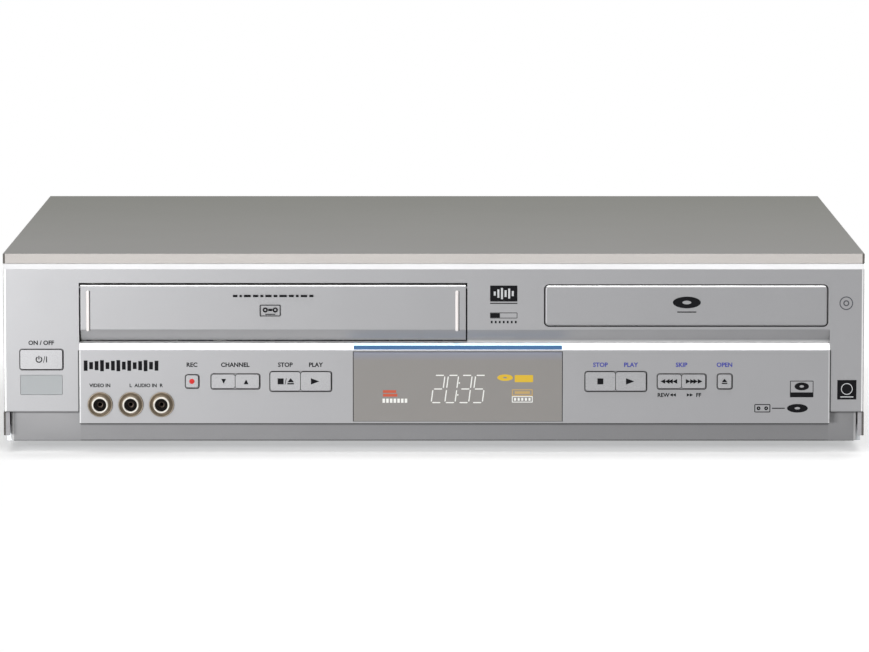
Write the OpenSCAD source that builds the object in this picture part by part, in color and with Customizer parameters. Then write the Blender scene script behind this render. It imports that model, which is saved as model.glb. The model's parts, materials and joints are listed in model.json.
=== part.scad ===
// DVD player and VHS recorder in one case: millimetres, +Z up, front faces -Y.
// The origin is on the floor, under the middle of the object.

/* [Case] */
// Width over the cover
overall_w = 430; // [420:1:440]
// Depth from the lower front panel to the rear panel
body_d = 350; // [345:1:370]
// Height of the case above its feet
case_h = 94.5; // [93:0.5:105]
// Height of the feet
foot_h = 5; // [3:0.5:8]
// Radius of a foot
foot_r = 10; // [7:0.5:14]
// Distance from a foot's centre to the front or the rear, and to the side
foot_inset = 66; // [40:1:80]
// Sheet thickness of the cover
cover_t = 0.8; // [0.6:0.1:1.2]
// Sheet thickness of the base pan
pan_t = 1; // [0.8:0.1:1.5]
// Height of the base pan's side walls
pan_wall_h = 22; // [14:1:26]
// Height of the cover's lower edge above the underside of the case
cover_edge_z = 3.6; // [1.5:0.1:6]
// Width of the fold at the front of the cover's sides, below the front panel
cover_fold_w = 3.1; // [1.5:0.1:3.1]
// Number of vent slots in each side of the cover
side_vents = 12; // [4:1:16]
// Length of a side vent slot
side_vent_h = 26; // [12:1:40]

/* [Front panel] */
// Wall of the moulded front panel
bezel_t = 2.5; // [2:0.1:2.8]
// How far the upper face stands behind the lower panel
upper_step = 1; // [0.5:0.1:1.5]
// Height of the sloped top edge
chamfer = 2.6; // [2:0.1:3.2]
// Gap between the sloped top edge and the cover's top surface
lip_h = 4.9; // [4:0.1:6]
// Width of the left end beside the lower panel
left_end_w = 38.1; // [36:0.1:38.5]
// Width of the right end beside the lower panel
right_end_w = 17.3; // [10:0.1:24]
// Height of the panel ends' lower edge
end_edge_z = 15.5; // [13:0.1:18]
// Height of the lower panel's lower edge
panel_z = 9.5; // [7:0.1:9.8]
// Height of the lower panel's upper edge, where the groove starts
groove_low_z = 46.4; // [46:0.1:46.6]
// Height of the bright band's upper edge in the groove
band_z = 49.9; // [49.4:0.1:50.2]
// Depth of the bright band's upper edge behind the lower panel
band_d = 3; // [2.4:0.1:4]
// Height of the deepest line of the groove
groove_mid_z = 50.4; // [50.3:0.1:51]
// Height at which the groove meets the upper face
groove_top_z = 56.7; // [56:0.1:58]
// Depth of the groove behind the lower panel
groove_d = 5.3; // [4.5:0.1:6]
// Depth of the panel's top and side returns
return_d = 10; // [8:0.5:12]
// Distance from the lower panel to the base skirt
skirt_y = 8; // [7:0.5:9]
// Distance from the skirt's ends to the case's sides
skirt_inset = 3.2; // [3.1:0.1:8]
// Radius of the skirt's lower corners
skirt_r = 1.8; // [1:0.1:8]

/* [Windows] */
// Width of the display window
display_w = 104.1; // [90:0.1:108]
// Middle of the display window along the width
display_x = 12.05; // [10:0.05:14]
// Height of the display window
display_h = 34.8; // [30:0.1:35]
// Height of the panel's strip below the display window
strip_h = 1.3; // [1:0.1:1.4]
// Gap round the sides and the top of the display window
window_gap = 0.35; // [0.1:0.05:0.4]
// Thickness of the display window
window_t = 1.4; // [1:0.1:1.6]
// Height of the light bar's front
light_h = 1.8; // [1.2:0.1:2]
// Width of the remote sensor window
sensor_w = 20.9; // [12:0.1:24]
// Height of the remote sensor window
sensor_h = 9.8; // [6:0.1:10.4]
// Height of the remote sensor window's middle
sensor_z = 29; // [27:0.5:30]

/* [Buttons] */
// Height of the button row's middle
row_z = 31; // [30:0.1:32]
// Travel of a button
button_travel = 0.8; // [0.4:0.1:0.8]
// How far a button stands out of the panel
button_proud = 0.8; // [0.4:0.1:1.2]
// Clearance around a button
button_gap = 0.3; // [0.15:0.05:0.3]
// Corner radius of a button
button_r = 1.4; // [0.8:0.1:2]
// Width of the power button
power_w = 20.9; // [16:0.1:24]
// Height of the power button
power_h = 9.6; // [7:0.1:10]
// Height of the power button's middle
power_z = 41.9; // [41:0.1:43]
// Width of a play or stop button
play_w = 14.9; // [12:0.1:15]
// Height of a play or stop button
play_h = 9.3; // [8:0.1:11]
// Width of a channel or skip button
skip_w = 11.7; // [9:0.1:11.8]
// Height of a channel or skip button
skip_h = 6.9; // [6:0.1:9]
// Width and height of the record button
record_w = 6.1; // [5:0.1:8]
// Width of the open button
small_w = 6.8; // [5:0.1:8]
// Height of the open button
small_h = 6.9; // [5:0.1:8]
// Record button's middle along the width
record_x = -120.7; // [-121:0.1:-119.5]
// Middle of the pair of channel buttons
channel_x = -99.1; // [-99.5:0.1:-98.7]
// Middle of the tape stop and play buttons
tape_x = -66.5; // [-67:0.1:-65]
// Middle of the disc stop and play buttons
disc_x = 90.8; // [90:0.1:91.5]
// Middle of the skip buttons
skip_x = 123.7; // [123:0.1:124.5]
// Open button's middle along the width
open_x = 145.2; // [144:0.1:147]

/* [Sockets] */
// Outer radius of an audio or video socket's shell
socket_r = 4.15; // [4.1:0.05:4.3]
// Radius of a socket's bore
socket_bore_r = 1.6; // [1.55:0.05:1.7]
// Distance between the front sockets
socket_pitch = 15.35; // [14:0.05:17]
// Distance from the lower panel's left edge to the first front socket's middle
socket_inset = 10.25; // [9:0.05:11]
// Height of the front sockets
socket_z = 19.3; // [19:0.1:20.5]
// How far a front socket stands out of the lower panel
socket_proud = 3.5; // [3.5:0.1:5]
// How far a rear socket stands out of the rear panel
rear_socket_proud = 8.5; // [7:0.1:9]
// Distance between the columns and the rows of rear sockets
rear_pitch = 15; // [14:0.5:17]
// Number of columns of rear sockets
rear_columns = 5; // [2:1:6]
// Radius of an aerial socket's thread
aerial_r = 4.7; // [4.5:0.05:4.8]
// Length of an aerial socket outside the rear panel
aerial_len = 10; // [9.5:0.5:12]

/* [Cassette deck] */
// Middle of the cassette along the width
deck_x = -80.1; // [-80.4:0.1:-79.8]
// Width of a cassette
cassette_w = 188; // [187:0.5:188]
// Depth of a cassette
cassette_d = 104; // [102:1:105]
// Thickness of a cassette
cassette_h = 25; // [24.5:0.1:25.4]
// Height of the cassette door
door_h = 28.3; // [28:0.1:28.6]
// Height of the cassette door's lower edge
door_z = 51.2; // [51:0.1:51.5]
// Thickness of the cassette door
door_t = 1.6; // [1.4:0.1:1.8]
// Radius of the cassette door's hinge pins
hinge_pin_r = 0.8; // [0.6:0.05:0.9]
// Gap around the cassette door
door_gap = 0.7; // [0.5:0.1:0.9]
// How far the basket carries the cassette in
basket_in = 55; // [45:1:58]
// How far the basket lowers the cassette
basket_down = 22; // [18:0.5:22.5]
// Radius of the head drum
drum_r = 31; // [30:0.1:31]
// Tilt of the head drum
drum_tilt = 6; // [4:0.5:7]
// Distance between the reel tables
reel_pitch = 92; // [88:1:96]
// Radius of a reel table
reel_r = 24; // [18:0.5:26]
// Radius of the capstan shaft
capstan_r = 1.5; // [1.3:0.05:2]
// Radius of the capstan's flywheel
flywheel_r = 24; // [16:0.5:26]
// Radius of the pinch roller
roller_r = 6.5; // [6:0.1:7]

/* [Disc loader] */
// Distance from the tray's front to the case's right side
tray_margin = 18.6; // [17.6:0.1:19]
// Width of the tray's front
tray_front_w = 140.9; // [136:0.1:142]
// Height of the tray's front
tray_front_h = 20.3; // [19.5:0.1:21]
// Height of the tray front's lower edge
tray_front_z = 58.7; // [58.2:0.1:59]
// Corner radius of the tray's front
tray_front_r = 2; // [1:0.1:3]
// Width of the tray
tray_w = 132; // [130:0.5:133]
// Depth of the tray
tray_d = 163; // [160:1:164]
// Travel of the tray
tray_travel = 140; // [120:1:140]
// Radius of a disc
disc_r = 60; // [60:0.1:60.4]
// Radius of the turntable
turntable_r = 15; // [12:0.5:16]
// Distance that the pickup travels
pickup_travel = 30; // [24:1:30]
// Tooth module of the tray's rack and gear
tray_m = 1; // [0.9:0.05:1]
// Teeth of the tray gear
tray_teeth = 18; // [17:1:18]
// Tooth module of the pickup's rack and gear
feed_m = 0.8; // [0.7:0.05:0.8]
// Teeth of the feed gear
feed_teeth = 20; // [18:1:20]
// Play between meshing teeth
backlash = 0.25; // [0.2:0.05:0.35]

/* [Boards] */
// Thickness of a circuit board
board_t = 1.6; // [1.2:0.1:2]
// Height of a board above the base pan
standoff_h = 7; // [5:0.5:9]

/* [Fits] */
// Gap between sheets and mouldings that lie side by side
gap = 0.3; // [0.2:0.05:0.4]
// Gap between the cover's front fold and the front panel's top
lip_gap = 0.1; // [0.05:0.05:0.3]
// Radial clearance of a shaft in its bore
running = 0.05; // [0.03:0.01:0.1]

/* [Hidden] */
$fn = 64;
rear_y = body_d - cover_t;
front_y = -(socket_proud + body_d - cover_t - gap + aerial_len) / 2 + socket_proud;
half_w = overall_w / 2;
bezel_half = half_w - gap;
inner_half = half_w - cover_t - gap;
bezel_top = case_h - lip_h;
upper_y = upper_step;
lip_y = upper_y + chamfer;
panel_x0 = -half_w + left_end_w;
panel_x1 = half_w - right_end_w;
end_x = (panel_x0 - half_w) / 2;
tray_x = half_w - tray_margin - tray_front_w / 2;
pan_y0 = skirt_y + 2 + gap;
panel_out_y = rear_y - gap;

board_y = 15;
board_z1 = groove_low_z - 1;
stem_end_y = 8.9;

// cassette deck
door_half = cassette_w / 2 + 2.2;
pivot_y = upper_y + door_t;
pivot_z = door_z + door_h - door_t;
door_lip_y = upper_y + (groove_d - upper_y) * (groove_top_z - door_z) / (groove_top_z - groove_mid_z);
cassette_z = door_z - gap;
basket_y = 34;
basket_d = 90;
basket_half = cassette_w / 2 + 2;
ledge_w = 14;
basket_floor = cassette_z - gap - 1;
basket_top = cassette_z + cassette_h + gap + 1;
basket_pin_y = basket_y + basket_d / 2;
basket_pin_z = cassette_z + cassette_h / 2;
carriage_half = basket_half + 0.5;
frame_half = carriage_half + 1.5;
deck_top = basket_floor - basket_down - 1.5;
deck_t = 1.5;
deck_y0 = 31;
drum_y = deck_y0 + basket_in + cassette_d + 10 + drum_r;
deck_y1 = drum_y + drum_r;
deck_half = frame_half + 6.8;
hub_y = deck_y0 + basket_in + cassette_d / 2;
capstan_at = [deck_x + 62, drum_y - 35];
pinch_pivot = [deck_x + 86, drum_y - 19];
pinch_arm_len = 22;
pinch_line = pinch_pivot - capstan_at;
pinch_dist = norm(pinch_line);
pinch_reach = capstan_r + roller_r + gap;
pinch_corner = acos((pow(pinch_arm_len, 2) + pow(pinch_dist, 2) - pow(pinch_reach, 2))
    / (2 * pinch_arm_len * pinch_dist));
pinch_swing = 25;
pinch_angle = atan2(-pinch_line[1], -pinch_line[0]) + pinch_corner + pinch_swing;
guide_start = [25, drum_y - 48];
guide_end = [44, drum_y + 7];

// disc loader
tray_front_y = upper_y - 0.3;
tray_front_t = 2.6;
tray_y = tray_front_y + tray_front_t;
disc_y = tray_y + 6 + disc_r;
rail_z = tray_front_z + 1.3;
tray_z = rail_z + 5;
disc_z = tray_z + 2;
land_z = tray_z + 5;
slot_half = 24;
loader_half = tray_w / 2 + 1;
loader_t = 2.5;
loader_deck_z = rail_z - 10;
loader_y0 = 9;
loader_y1 = tray_y + tray_d + 14;
bridge_z = land_z + 4;
clamp_z = disc_z + 4;
rack_line = tray_w / 2 - 6;
tray_pitch_r = tray_m * tray_teeth / 2;
gear_at = [tray_x - rack_line + tray_pitch_r, 24];
motor_r = 11;
motor_at = [tray_x - 15, board_y + board_t + motor_r + 3];
pulley_r = 15;
motor_pulley_r = 4.2;
groove_depth = 1.6;
pulley_z = loader_deck_z + 3.5;
pulley_h = 5;
belt_w = 1.2;
sled_half = 43;
sled_y0 = disc_y - 22;
hinge_y = disc_y + 98;
hinge_z = loader_deck_z + 1;
spindle_z = loader_deck_z + 10;
rod_x = 22;
rod_r = 1.5;
rod_z = loader_deck_z + 8;
rod_y0 = disc_y + 13.5;
rod_y1 = disc_y + 77;
pickup_y = disc_y + 16;
pickup_d = 26;
feed_pitch_r = feed_m * feed_teeth / 2;
feed_line = 30;
feed_at = [tray_x + feed_line + feed_pitch_r, pickup_y + pickup_d];

// boards and sockets
board_z = pan_t + standoff_h;
main_x0 = 40;
main_x1 = inner_half - 8.9;
main_y0 = board_y + board_t + 10.4;
power_x0 = -inner_half + 10.9;
power_x1 = power_x0 + 131;
power_y1 = panel_out_y - 10.9;
power_y0 = power_y1 - 63;
tuner_x = -35;
tuner_z = [22, 44];
inlet_x = power_x0 + 25;
inlet_z = 28;
rear_x0 = main_x1 - 55 - (rear_columns - 1) * rear_pitch;
rear_z0 = 27;

pair_step = gap / 2;
power_at = [end_x, power_z, power_w, power_h, upper_y];
record_at = [record_x, row_z, record_w, record_w, 0];
channel_down_at = [channel_x - skip_w / 2 - pair_step, row_z, skip_w, skip_h, 0];
channel_up_at = [channel_x + skip_w / 2 + pair_step, row_z, skip_w, skip_h, 0];
tape_stop_at = [tape_x - play_w / 2 - pair_step, row_z, play_w, play_h, 0];
tape_play_at = [tape_x + play_w / 2 + pair_step, row_z, play_w, play_h, 0];
disc_stop_at = [disc_x - play_w / 2 - pair_step, row_z, play_w, play_h, 0];
disc_play_at = [disc_x + play_w / 2 + pair_step, row_z, play_w, play_h, 0];
skip_back_at = [skip_x - skip_w / 2 - pair_step, row_z, skip_w, skip_h, 0];
skip_forward_at = [skip_x + skip_w / 2 + pair_step, row_z, skip_w, skip_h, 0];
open_at = [open_x, row_z, small_w, small_h, 0];
all_buttons = [power_at, record_at, channel_down_at, channel_up_at, tape_stop_at, tape_play_at,
    disc_stop_at, disc_play_at, skip_back_at, skip_forward_at, open_at];
display_x0 = display_x - display_w / 2;
display_x1 = display_x + display_w / 2;
display_z = panel_z + strip_h;
light_z = groove_low_z + 0.5;
side_screws = [[60, 13], [body_d - 50, 13]];
rear_screws = [for (side = [-1, 0, 1]) side * (inner_half - 43.9)];
front_sockets = [for (i = [0:2]) panel_x0 + socket_inset + i * socket_pitch];
rear_sockets = [for (i = [0:rear_columns - 1], row = [0, 1]) [rear_x0 + i * rear_pitch, rear_z0 + row * rear_pitch]];
main_posts = [for (x = [main_x0 + 10, main_x1 - 15], y = [main_y0 + 13, panel_out_y - 28.9]) [x, y]];
power_posts = [for (x = [power_x0 + 8, power_x1 - 8], y = [power_y0 + 10, power_y1 - 8]) [x, y]];
board_posts = [[panel_x0 + 31.9, 40], [display_x0 - 6, 20], [display_x1 + 6, 20], [panel_x1 - 32.7, 20],
    [panel_x1 - 32.7, 40], [end_x + 11, 21]];

module placed() translate([0, front_y, foot_h]) children();

module both_sides() for (side = [0, 1]) mirror([side, 0, 0]) children();

// A box between two values on each axis
module block(x0, x1, y0, y1, z0, z1)
    translate([x0, y0, z0]) cube([x1 - x0, y1 - y0, z1 - z0]);

// Cylinders along Z, Y and X
module post(at, z0, z1, r) translate([at[0], at[1], z0]) cylinder(h = z1 - z0, r = r);
module bar_y(x, z, y0, y1, r) translate([x, y1, z]) rotate([90, 0, 0]) cylinder(h = y1 - y0, r = r);
module bar_x(y, z, x0, x1, r) translate([x0, y, z]) rotate([0, 90, 0]) cylinder(h = x1 - x0, r = r);

module rounded(w, h, r) {
    square([w - 2 * r, h], center = true);
    square([w, h - 2 * r], center = true);
    for (x = [-1, 1], z = [-1, 1]) translate([x * (w / 2 - r), z * (h / 2 - r)]) circle(r = r);
}

// A plate with round corners that faces the front, from y0 back to y1
module front_plate(x, z, w, h, r, y0, y1)
    translate([x, y1, z]) rotate([90, 0, 0]) linear_extrude(y1 - y0) rounded(w, h, r);

// An outline of [y, z] points carried along the width
module side_profile(x0, x1, outline)
    translate([x0, 0, 0]) rotate([90, 0, 90]) linear_extrude(x1 - x0) polygon(outline);

module top_cover() color([0.59, 0.58, 0.57]) placed() difference() {
    union() {
        block(-half_w, half_w, lip_y, body_d, case_h - cover_t, case_h);
        block(-half_w, half_w, lip_y, lip_y + cover_t, bezel_top + lip_gap, case_h);
        block(-inner_half, inner_half, rear_y, body_d, case_h - 10, case_h);
        both_sides() {
            block(half_w - cover_t, half_w, lip_y, body_d, bezel_top + gap, case_h);
            block(half_w - cover_t, half_w, return_d + gap, body_d, cover_edge_z, case_h);
            block(half_w - cover_t, half_w, upper_y + gap, return_d + gap + 1, cover_edge_z, end_edge_z - gap);
            block(half_w - cover_fold_w, half_w, upper_y + gap, upper_y + gap + cover_t, cover_edge_z,
                end_edge_z - gap);
        }
    }
    both_sides() {
        for (i = [0:side_vents - 1])
            block(half_w - cover_t - 1, half_w + 1, body_d - 135 + i * 7, body_d - 132 + i * 7, 32, 32 + side_vent_h);
        for (at = side_screws) bar_x(at[0], at[1], half_w - cover_t - 1, half_w + 1, 3.1);
    }
    for (x = rear_screws) bar_y(x, case_h - 5, rear_y - 1, body_d + 1, 1.5);
}

module cover_screws() color([0.70, 0.70, 0.70]) placed() {
    both_sides() for (at = side_screws) {
        bar_x(at[0], at[1], inner_half, half_w - 0.05, 3);
        bar_x(at[0], at[1], inner_half - 4, inner_half + 0.1, 1.4);
    }
    for (x = rear_screws) {
        bar_y(x, case_h - 5, body_d, body_d + 1.6, 3);
        bar_y(x, case_h - 5, body_d - 6, body_d + 0.1, 1.4);
    }
}

module base_chassis() color([0.66, 0.67, 0.68]) placed() difference() {
    union() {
        block(-inner_half, inner_half, pan_y0, panel_out_y - pan_t, 0, pan_t);
        block(-inner_half, inner_half, pan_y0, pan_y0 + pan_t, 0, 8);
        both_sides() block(inner_half - pan_t, inner_half, pan_y0, panel_out_y - pan_t, 0, pan_wall_h);
        for (at = concat(main_posts, power_posts)) post(at, 0, board_z, 3);
    }
    both_sides() for (at = side_screws) bar_x(at[0], at[1], inner_half - 2, inner_half + 1, 1.5);
    for (i = [0:7]) block(-40 + i * 8, -36 + i * 8, power_y0 + 10, power_y0 + 50, -1, pan_t + 1);
}

module rear_panel() color([0.62, 0.63, 0.64]) placed() difference() {
    block(-inner_half, inner_half, panel_out_y - pan_t, panel_out_y, 0, case_h - cover_t - gap);
    for (x = rear_screws) bar_y(x, case_h - 5, panel_out_y - 2, panel_out_y + 1, 1.5);
    for (at = rear_sockets) bar_y(at[0], at[1], panel_out_y - 2, panel_out_y + 1, socket_r + gap);
    for (z = tuner_z) bar_y(tuner_x, z, panel_out_y - 2, panel_out_y + 1, aerial_r + gap);
    block(inlet_x - 12.2, inlet_x + 12.2, panel_out_y - 2, panel_out_y + 1, inlet_z - 8.2, inlet_z + 8.2);
    for (i = [0:11]) block(-140 + i * 7, -137 + i * 7, panel_out_y - 2, panel_out_y + 1, 55, 75);
}

module feet() color([0.16, 0.16, 0.17])
    for (x = [-1, 1], y = [foot_inset, body_d - foot_inset])
        translate([x * (half_w - foot_inset), front_y + y, 0]) difference() {
            cylinder(h = foot_h, r = foot_r);
            translate([0, 0, -1]) cylinder(h = 2.5, r = foot_r / 3);
        }

function top_return() = [[upper_y + bezel_t, bezel_top - chamfer - 1],
    [upper_y + bezel_t + 1.4, bezel_top - 2.2], [return_d, bezel_top - 2.2], [return_d, bezel_top],
    [lip_y, bezel_top], [upper_y, bezel_top - chamfer]];

module front_bezel() color([0.80, 0.80, 0.81]) placed() difference() {
    union() {
        side_profile(panel_x0, panel_x1, concat(top_return(), [[upper_y, groove_top_z],
            [groove_d, groove_mid_z], [band_d, band_z], [0, groove_low_z], [0, panel_z], [bezel_t, panel_z],
            [bezel_t, groove_low_z - 1], [groove_d + bezel_t, groove_mid_z],
            [upper_y + bezel_t, groove_top_z + 1]]));
        for (ends = [[-bezel_half, panel_x0], [panel_x1, bezel_half]])
            side_profile(ends[0], ends[1],
                concat(top_return(), [[upper_y, end_edge_z], [upper_y + bezel_t, end_edge_z]]));
        for (x = [panel_x0 - 2, panel_x1])
            block(x, x + 2, upper_y, groove_d + bezel_t, groove_low_z - 1, groove_top_z + 1);
        both_sides() side_profile(bezel_half - bezel_t, bezel_half, [[upper_y, end_edge_z],
            [return_d, end_edge_z], [return_d, bezel_top], [lip_y, bezel_top],
            [upper_y, bezel_top - chamfer]]);
        for (x = [deck_x - door_half - door_gap - 5, deck_x + door_half + door_gap])
            block(x, x + 5, upper_y + 1, pivot_y + 3, pivot_z - 3, pivot_z + 3);
        for (x = [panel_x0 + 7, display_x0 - 20, display_x1 + 16, panel_x1 - 11.7])
            block(x - 3, x + 3, 2, skirt_y, panel_z + 0.5, 12);
        for (at = board_posts) bar_y(at[0], at[1], 2, board_y, 2.5);
    }
    block(deck_x - door_half - door_gap, deck_x + door_half + door_gap, -1, return_d + 5,
        door_z - door_gap, door_z + door_h + door_gap);
    bar_x(pivot_y, pivot_z, deck_x - door_half - door_gap - 4, deck_x + door_half + door_gap + 4,
        hinge_pin_r + running);
    front_plate(tray_x, tray_front_z + tray_front_h / 2, tray_front_w + 1, tray_front_h + 1,
        tray_front_r + 0.5, -1, 12);
    block(display_x0 - window_gap, display_x1 + window_gap, -1, window_t, display_z - 0.1,
        display_z + display_h + window_gap);
    block(display_x0 + 4, display_x1 - 4, -1, 12, panel_z + 4, panel_z + display_h - 3);
    block(display_x0, display_x1, -1, 12, light_z, light_z + light_h);
    front_plate(end_x, sensor_z, sensor_w + 0.2, sensor_h + 0.2, 0.6, -1, upper_y + window_t);
    front_plate(end_x, sensor_z, sensor_w - 4, sensor_h - 4, 0.6, -1, 5);
    for (b = all_buttons)
        front_plate(b[0], b[1], b[2] + 2 * button_gap, b[3] + 2 * button_gap, button_r, -1, 5);
    for (x = front_sockets) bar_y(x, socket_z, -1, 5, socket_r + 0.15);
}

module base_skirt() color([0.56, 0.57, 0.58]) placed() {
    skirt_half = half_w - skirt_inset;
    translate([0, skirt_y + 2, 0]) rotate([90, 0, 0]) linear_extrude(2) {
        translate([-skirt_half, skirt_r]) square([2 * skirt_half, 12 - skirt_r]);
        translate([-skirt_half + skirt_r, 0]) square([2 * (skirt_half - skirt_r), 12]);
        for (x = [-1, 1]) translate([x * (skirt_half - skirt_r), skirt_r]) circle(r = skirt_r);
        translate([-skirt_half, 11]) square([panel_x0 + 2 + skirt_half, end_edge_z - 10.3]);
        translate([panel_x1 - 2, 11]) square([skirt_half - panel_x1 + 2, end_edge_z - 10.3]);
    }
}

module display_window() color([0.56, 0.55, 0.53]) placed()
    block(display_x0, display_x1, 0, window_t, display_z, display_z + display_h);

module light_pipe() color([0.25, 0.42, 0.70]) placed() {
    slope = band_d / (band_z - groove_low_z);
    z0 = light_z + 0.1;
    z1 = light_z + light_h - 0.1;
    side_profile(display_x0, display_x1, [[(z0 - groove_low_z) * slope, z0],
        [(z1 - groove_low_z) * slope, z1], [9, z1], [9, z0]]);
}

module sensor_window() color([0.72, 0.73, 0.74]) placed()
    front_plate(end_x, sensor_z, sensor_w, sensor_h, 0.5, upper_y, upper_y + window_t);

module front_socket_shells() color([0.78, 0.77, 0.74]) placed()
    for (x = front_sockets) difference() {
        union() {
            bar_y(x, socket_z, -1, 0, socket_r + 2.15);
            bar_y(x, socket_z, -socket_proud, 8, socket_r);
        }
        bar_y(x, socket_z, -socket_proud - 1, 9, socket_r - 0.85);
    }

// The insulator of a socket, with the bore for the plug's pin
module socket_insert(x, z, y0, y1) difference() {
    bar_y(x, z, y0, y1, socket_r - 0.85);
    bar_y(x, z, y0 - 1, y1 - 1.5, socket_bore_r);
}

module front_socket_inserts() color([0.15, 0.15, 0.15]) placed()
    for (x = front_sockets) socket_insert(x, socket_z, 1 - socket_proud, 8);

module front_board() color([0.20, 0.42, 0.24]) placed() {
    block(-half_w + 10, half_w - 10, board_y, board_y + board_t, 3, board_z1);
    for (x = front_sockets) block(x - 7, x + 7, 8, board_y, socket_z - 6, socket_z + 6);
    for (b = all_buttons) {
        block(b[0] - 3, b[0] + 3, board_y - 3.5, board_y, b[1] - 3, b[1] + 3);
        bar_y(b[0], b[1], board_y - 5, board_y - 3, 1.75);
    }
}

module display_module() color([0.10, 0.11, 0.12]) placed()
    block(display_x0 + 7, display_x1 - 7, window_t + 3, board_y, panel_z + 6, panel_z + display_h - 6);

// A push button: cap, retaining flange behind the panel and stem down to its switch
module button(b) color([0.84, 0.84, 0.85]) placed() {
    wall = b[4] + bezel_t;
    front_plate(b[0], b[1], b[2], b[3], button_r - button_gap, b[4] - button_proud, wall + gap);
    front_plate(b[0], b[1], b[2], b[3] + 1.6, 0.5, wall + gap, wall + gap + 1);
    bar_y(b[0], b[1], wall + gap, stem_end_y, 1.5);
}

module button_power() button(power_at);
module button_record() button(record_at);
module button_channel_down() button(channel_down_at);
module button_channel_up() button(channel_up_at);
module button_tape_stop() button(tape_stop_at);
module button_tape_play() button(tape_play_at);
module button_disc_stop() button(disc_stop_at);
module button_disc_play() button(disc_play_at);
module button_skip_back() button(skip_back_at);
module button_skip_forward() button(skip_forward_at);
module button_open() button(open_at);

module cassette_door() color([0.78, 0.78, 0.79]) placed() {
    x0 = deck_x - door_half;
    x1 = deck_x + door_half;
    side_profile(x0, x1, [[upper_y, pivot_z], [upper_y, groove_top_z], [door_lip_y, door_z],
        [door_lip_y + door_t, door_z], [upper_y + door_t, groove_top_z + 1], [upper_y + door_t, pivot_z]]);
    bar_x(pivot_y, pivot_z, x0, x1, door_t);
    bar_x(pivot_y, pivot_z, x0 - door_gap - 3, x1 + door_gap + 3, hinge_pin_r);
    for (x = [x0 + 3.7, x1 - 4.5])
        block(x - 0.6, x + 0.6, upper_y - 0.8, upper_y + 1, door_z + 5, door_z + 25);
}

// The path of a tape guide from the cassette to the drum
module guide_slot() {
    run = guide_end - guide_start;
    translate([guide_start[0], guide_start[1], deck_top - deck_t - 1])
        rotate(atan2(run[1], run[0])) linear_extrude(deck_t + 2) {
            translate([0, -2.6]) square([norm(run), 5.2]);
            for (x = [0, norm(run)]) translate([x, 0]) circle(r = 2.6);
        }
}

module deck_plate() color([0.72, 0.72, 0.70]) placed() {
    difference() {
        block(deck_x - deck_half, deck_x + deck_half, deck_y0, deck_y1, deck_top - deck_t, deck_top);
        translate([deck_x, 0, 0]) both_sides() guide_slot();
        post(capstan_at, deck_top - 3, deck_top + 1, capstan_r + running);
    }
    for (x = [-1, 1], y = [deck_y0 + 8, deck_y1 - 8])
        post([deck_x + x * (deck_half - 8), y], pan_t, deck_top - 0.5, 4);
    for (x = [-1, 1]) post([deck_x + x * reel_pitch / 2, hub_y], deck_top - 1, deck_top + 16, 1.5);
    post(pinch_pivot, deck_top - 1, deck_top + 14, 2);
}

module deck_side_frames() color([0.70, 0.70, 0.69]) placed() translate([deck_x, 0, 0]) {
    y1 = basket_y + basket_d + basket_in + 12;
    both_sides() difference() {
        block(frame_half, frame_half + 1.2, deck_y0 + 1, y1, deck_top, basket_top + 3);
        block(frame_half - 1, frame_half + 2, basket_pin_y - 3, basket_pin_y + basket_in + 3,
            basket_pin_z - basket_down - 3, basket_pin_z + 3);
    }
    block(-frame_half - 0.5, frame_half + 0.5, y1 - 3, y1, basket_top - 5, basket_top + 3);
}

module basket_carriage() color([0.30, 0.30, 0.32]) placed() translate([deck_x, 0, 0]) {
    shaft_z = basket_top + 5;
    both_sides() difference() {
        block(carriage_half, carriage_half + 1, basket_pin_y - 8, basket_pin_y + 8,
            basket_pin_z - basket_down - 6, shaft_z + 3);
        block(carriage_half - 1, carriage_half + 2, basket_pin_y - 2.2, basket_pin_y + 2.2,
            basket_pin_z - basket_down - 2.2, basket_pin_z + 2.2);
    }
    bar_x(basket_pin_y, shaft_z, -carriage_half - 0.5, carriage_half + 0.5, 2);
}

module cassette_basket() color([0.60, 0.60, 0.58]) placed() translate([deck_x, 0, 0]) {
    block(-basket_half, basket_half, basket_y, basket_y + basket_d, basket_top - 1, basket_top);
    both_sides() {
        block(basket_half - 1, basket_half, basket_y, basket_y + basket_d, basket_floor, basket_top);
        block(basket_half - ledge_w, basket_half, basket_y, basket_y + basket_d, basket_floor, basket_floor + 1);
        bar_x(basket_pin_y, basket_pin_z, basket_half - 0.5, frame_half + 1.5, 1.9);
    }
}

// Places a piece on the drum's tilted axis
module on_drum() translate([deck_x, drum_y, deck_top + 7]) rotate([-drum_tilt, 0, 0]) children();

module lower_drum() color([0.78, 0.78, 0.79]) placed() {
    post([deck_x, drum_y], deck_top, deck_top + 5, drum_r + 1);
    on_drum() {
        translate([0, 0, -3]) cylinder(h = 17, r = drum_r);
        cylinder(h = 30, r = 2);
    }
}

module upper_drum() color([0.85, 0.85, 0.86]) placed() on_drum() difference() {
    translate([0, 0, 14.4]) cylinder(h = 16.6, r = drum_r);
    translate([0, 0, 13]) cylinder(h = 20, r = 2 + running);
}

module capstan() color([0.75, 0.75, 0.77]) placed() {
    post(capstan_at, deck_top - 16, deck_top + 24, capstan_r);
    post(capstan_at, deck_top - 14, deck_top - 7, flywheel_r);
}

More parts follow.
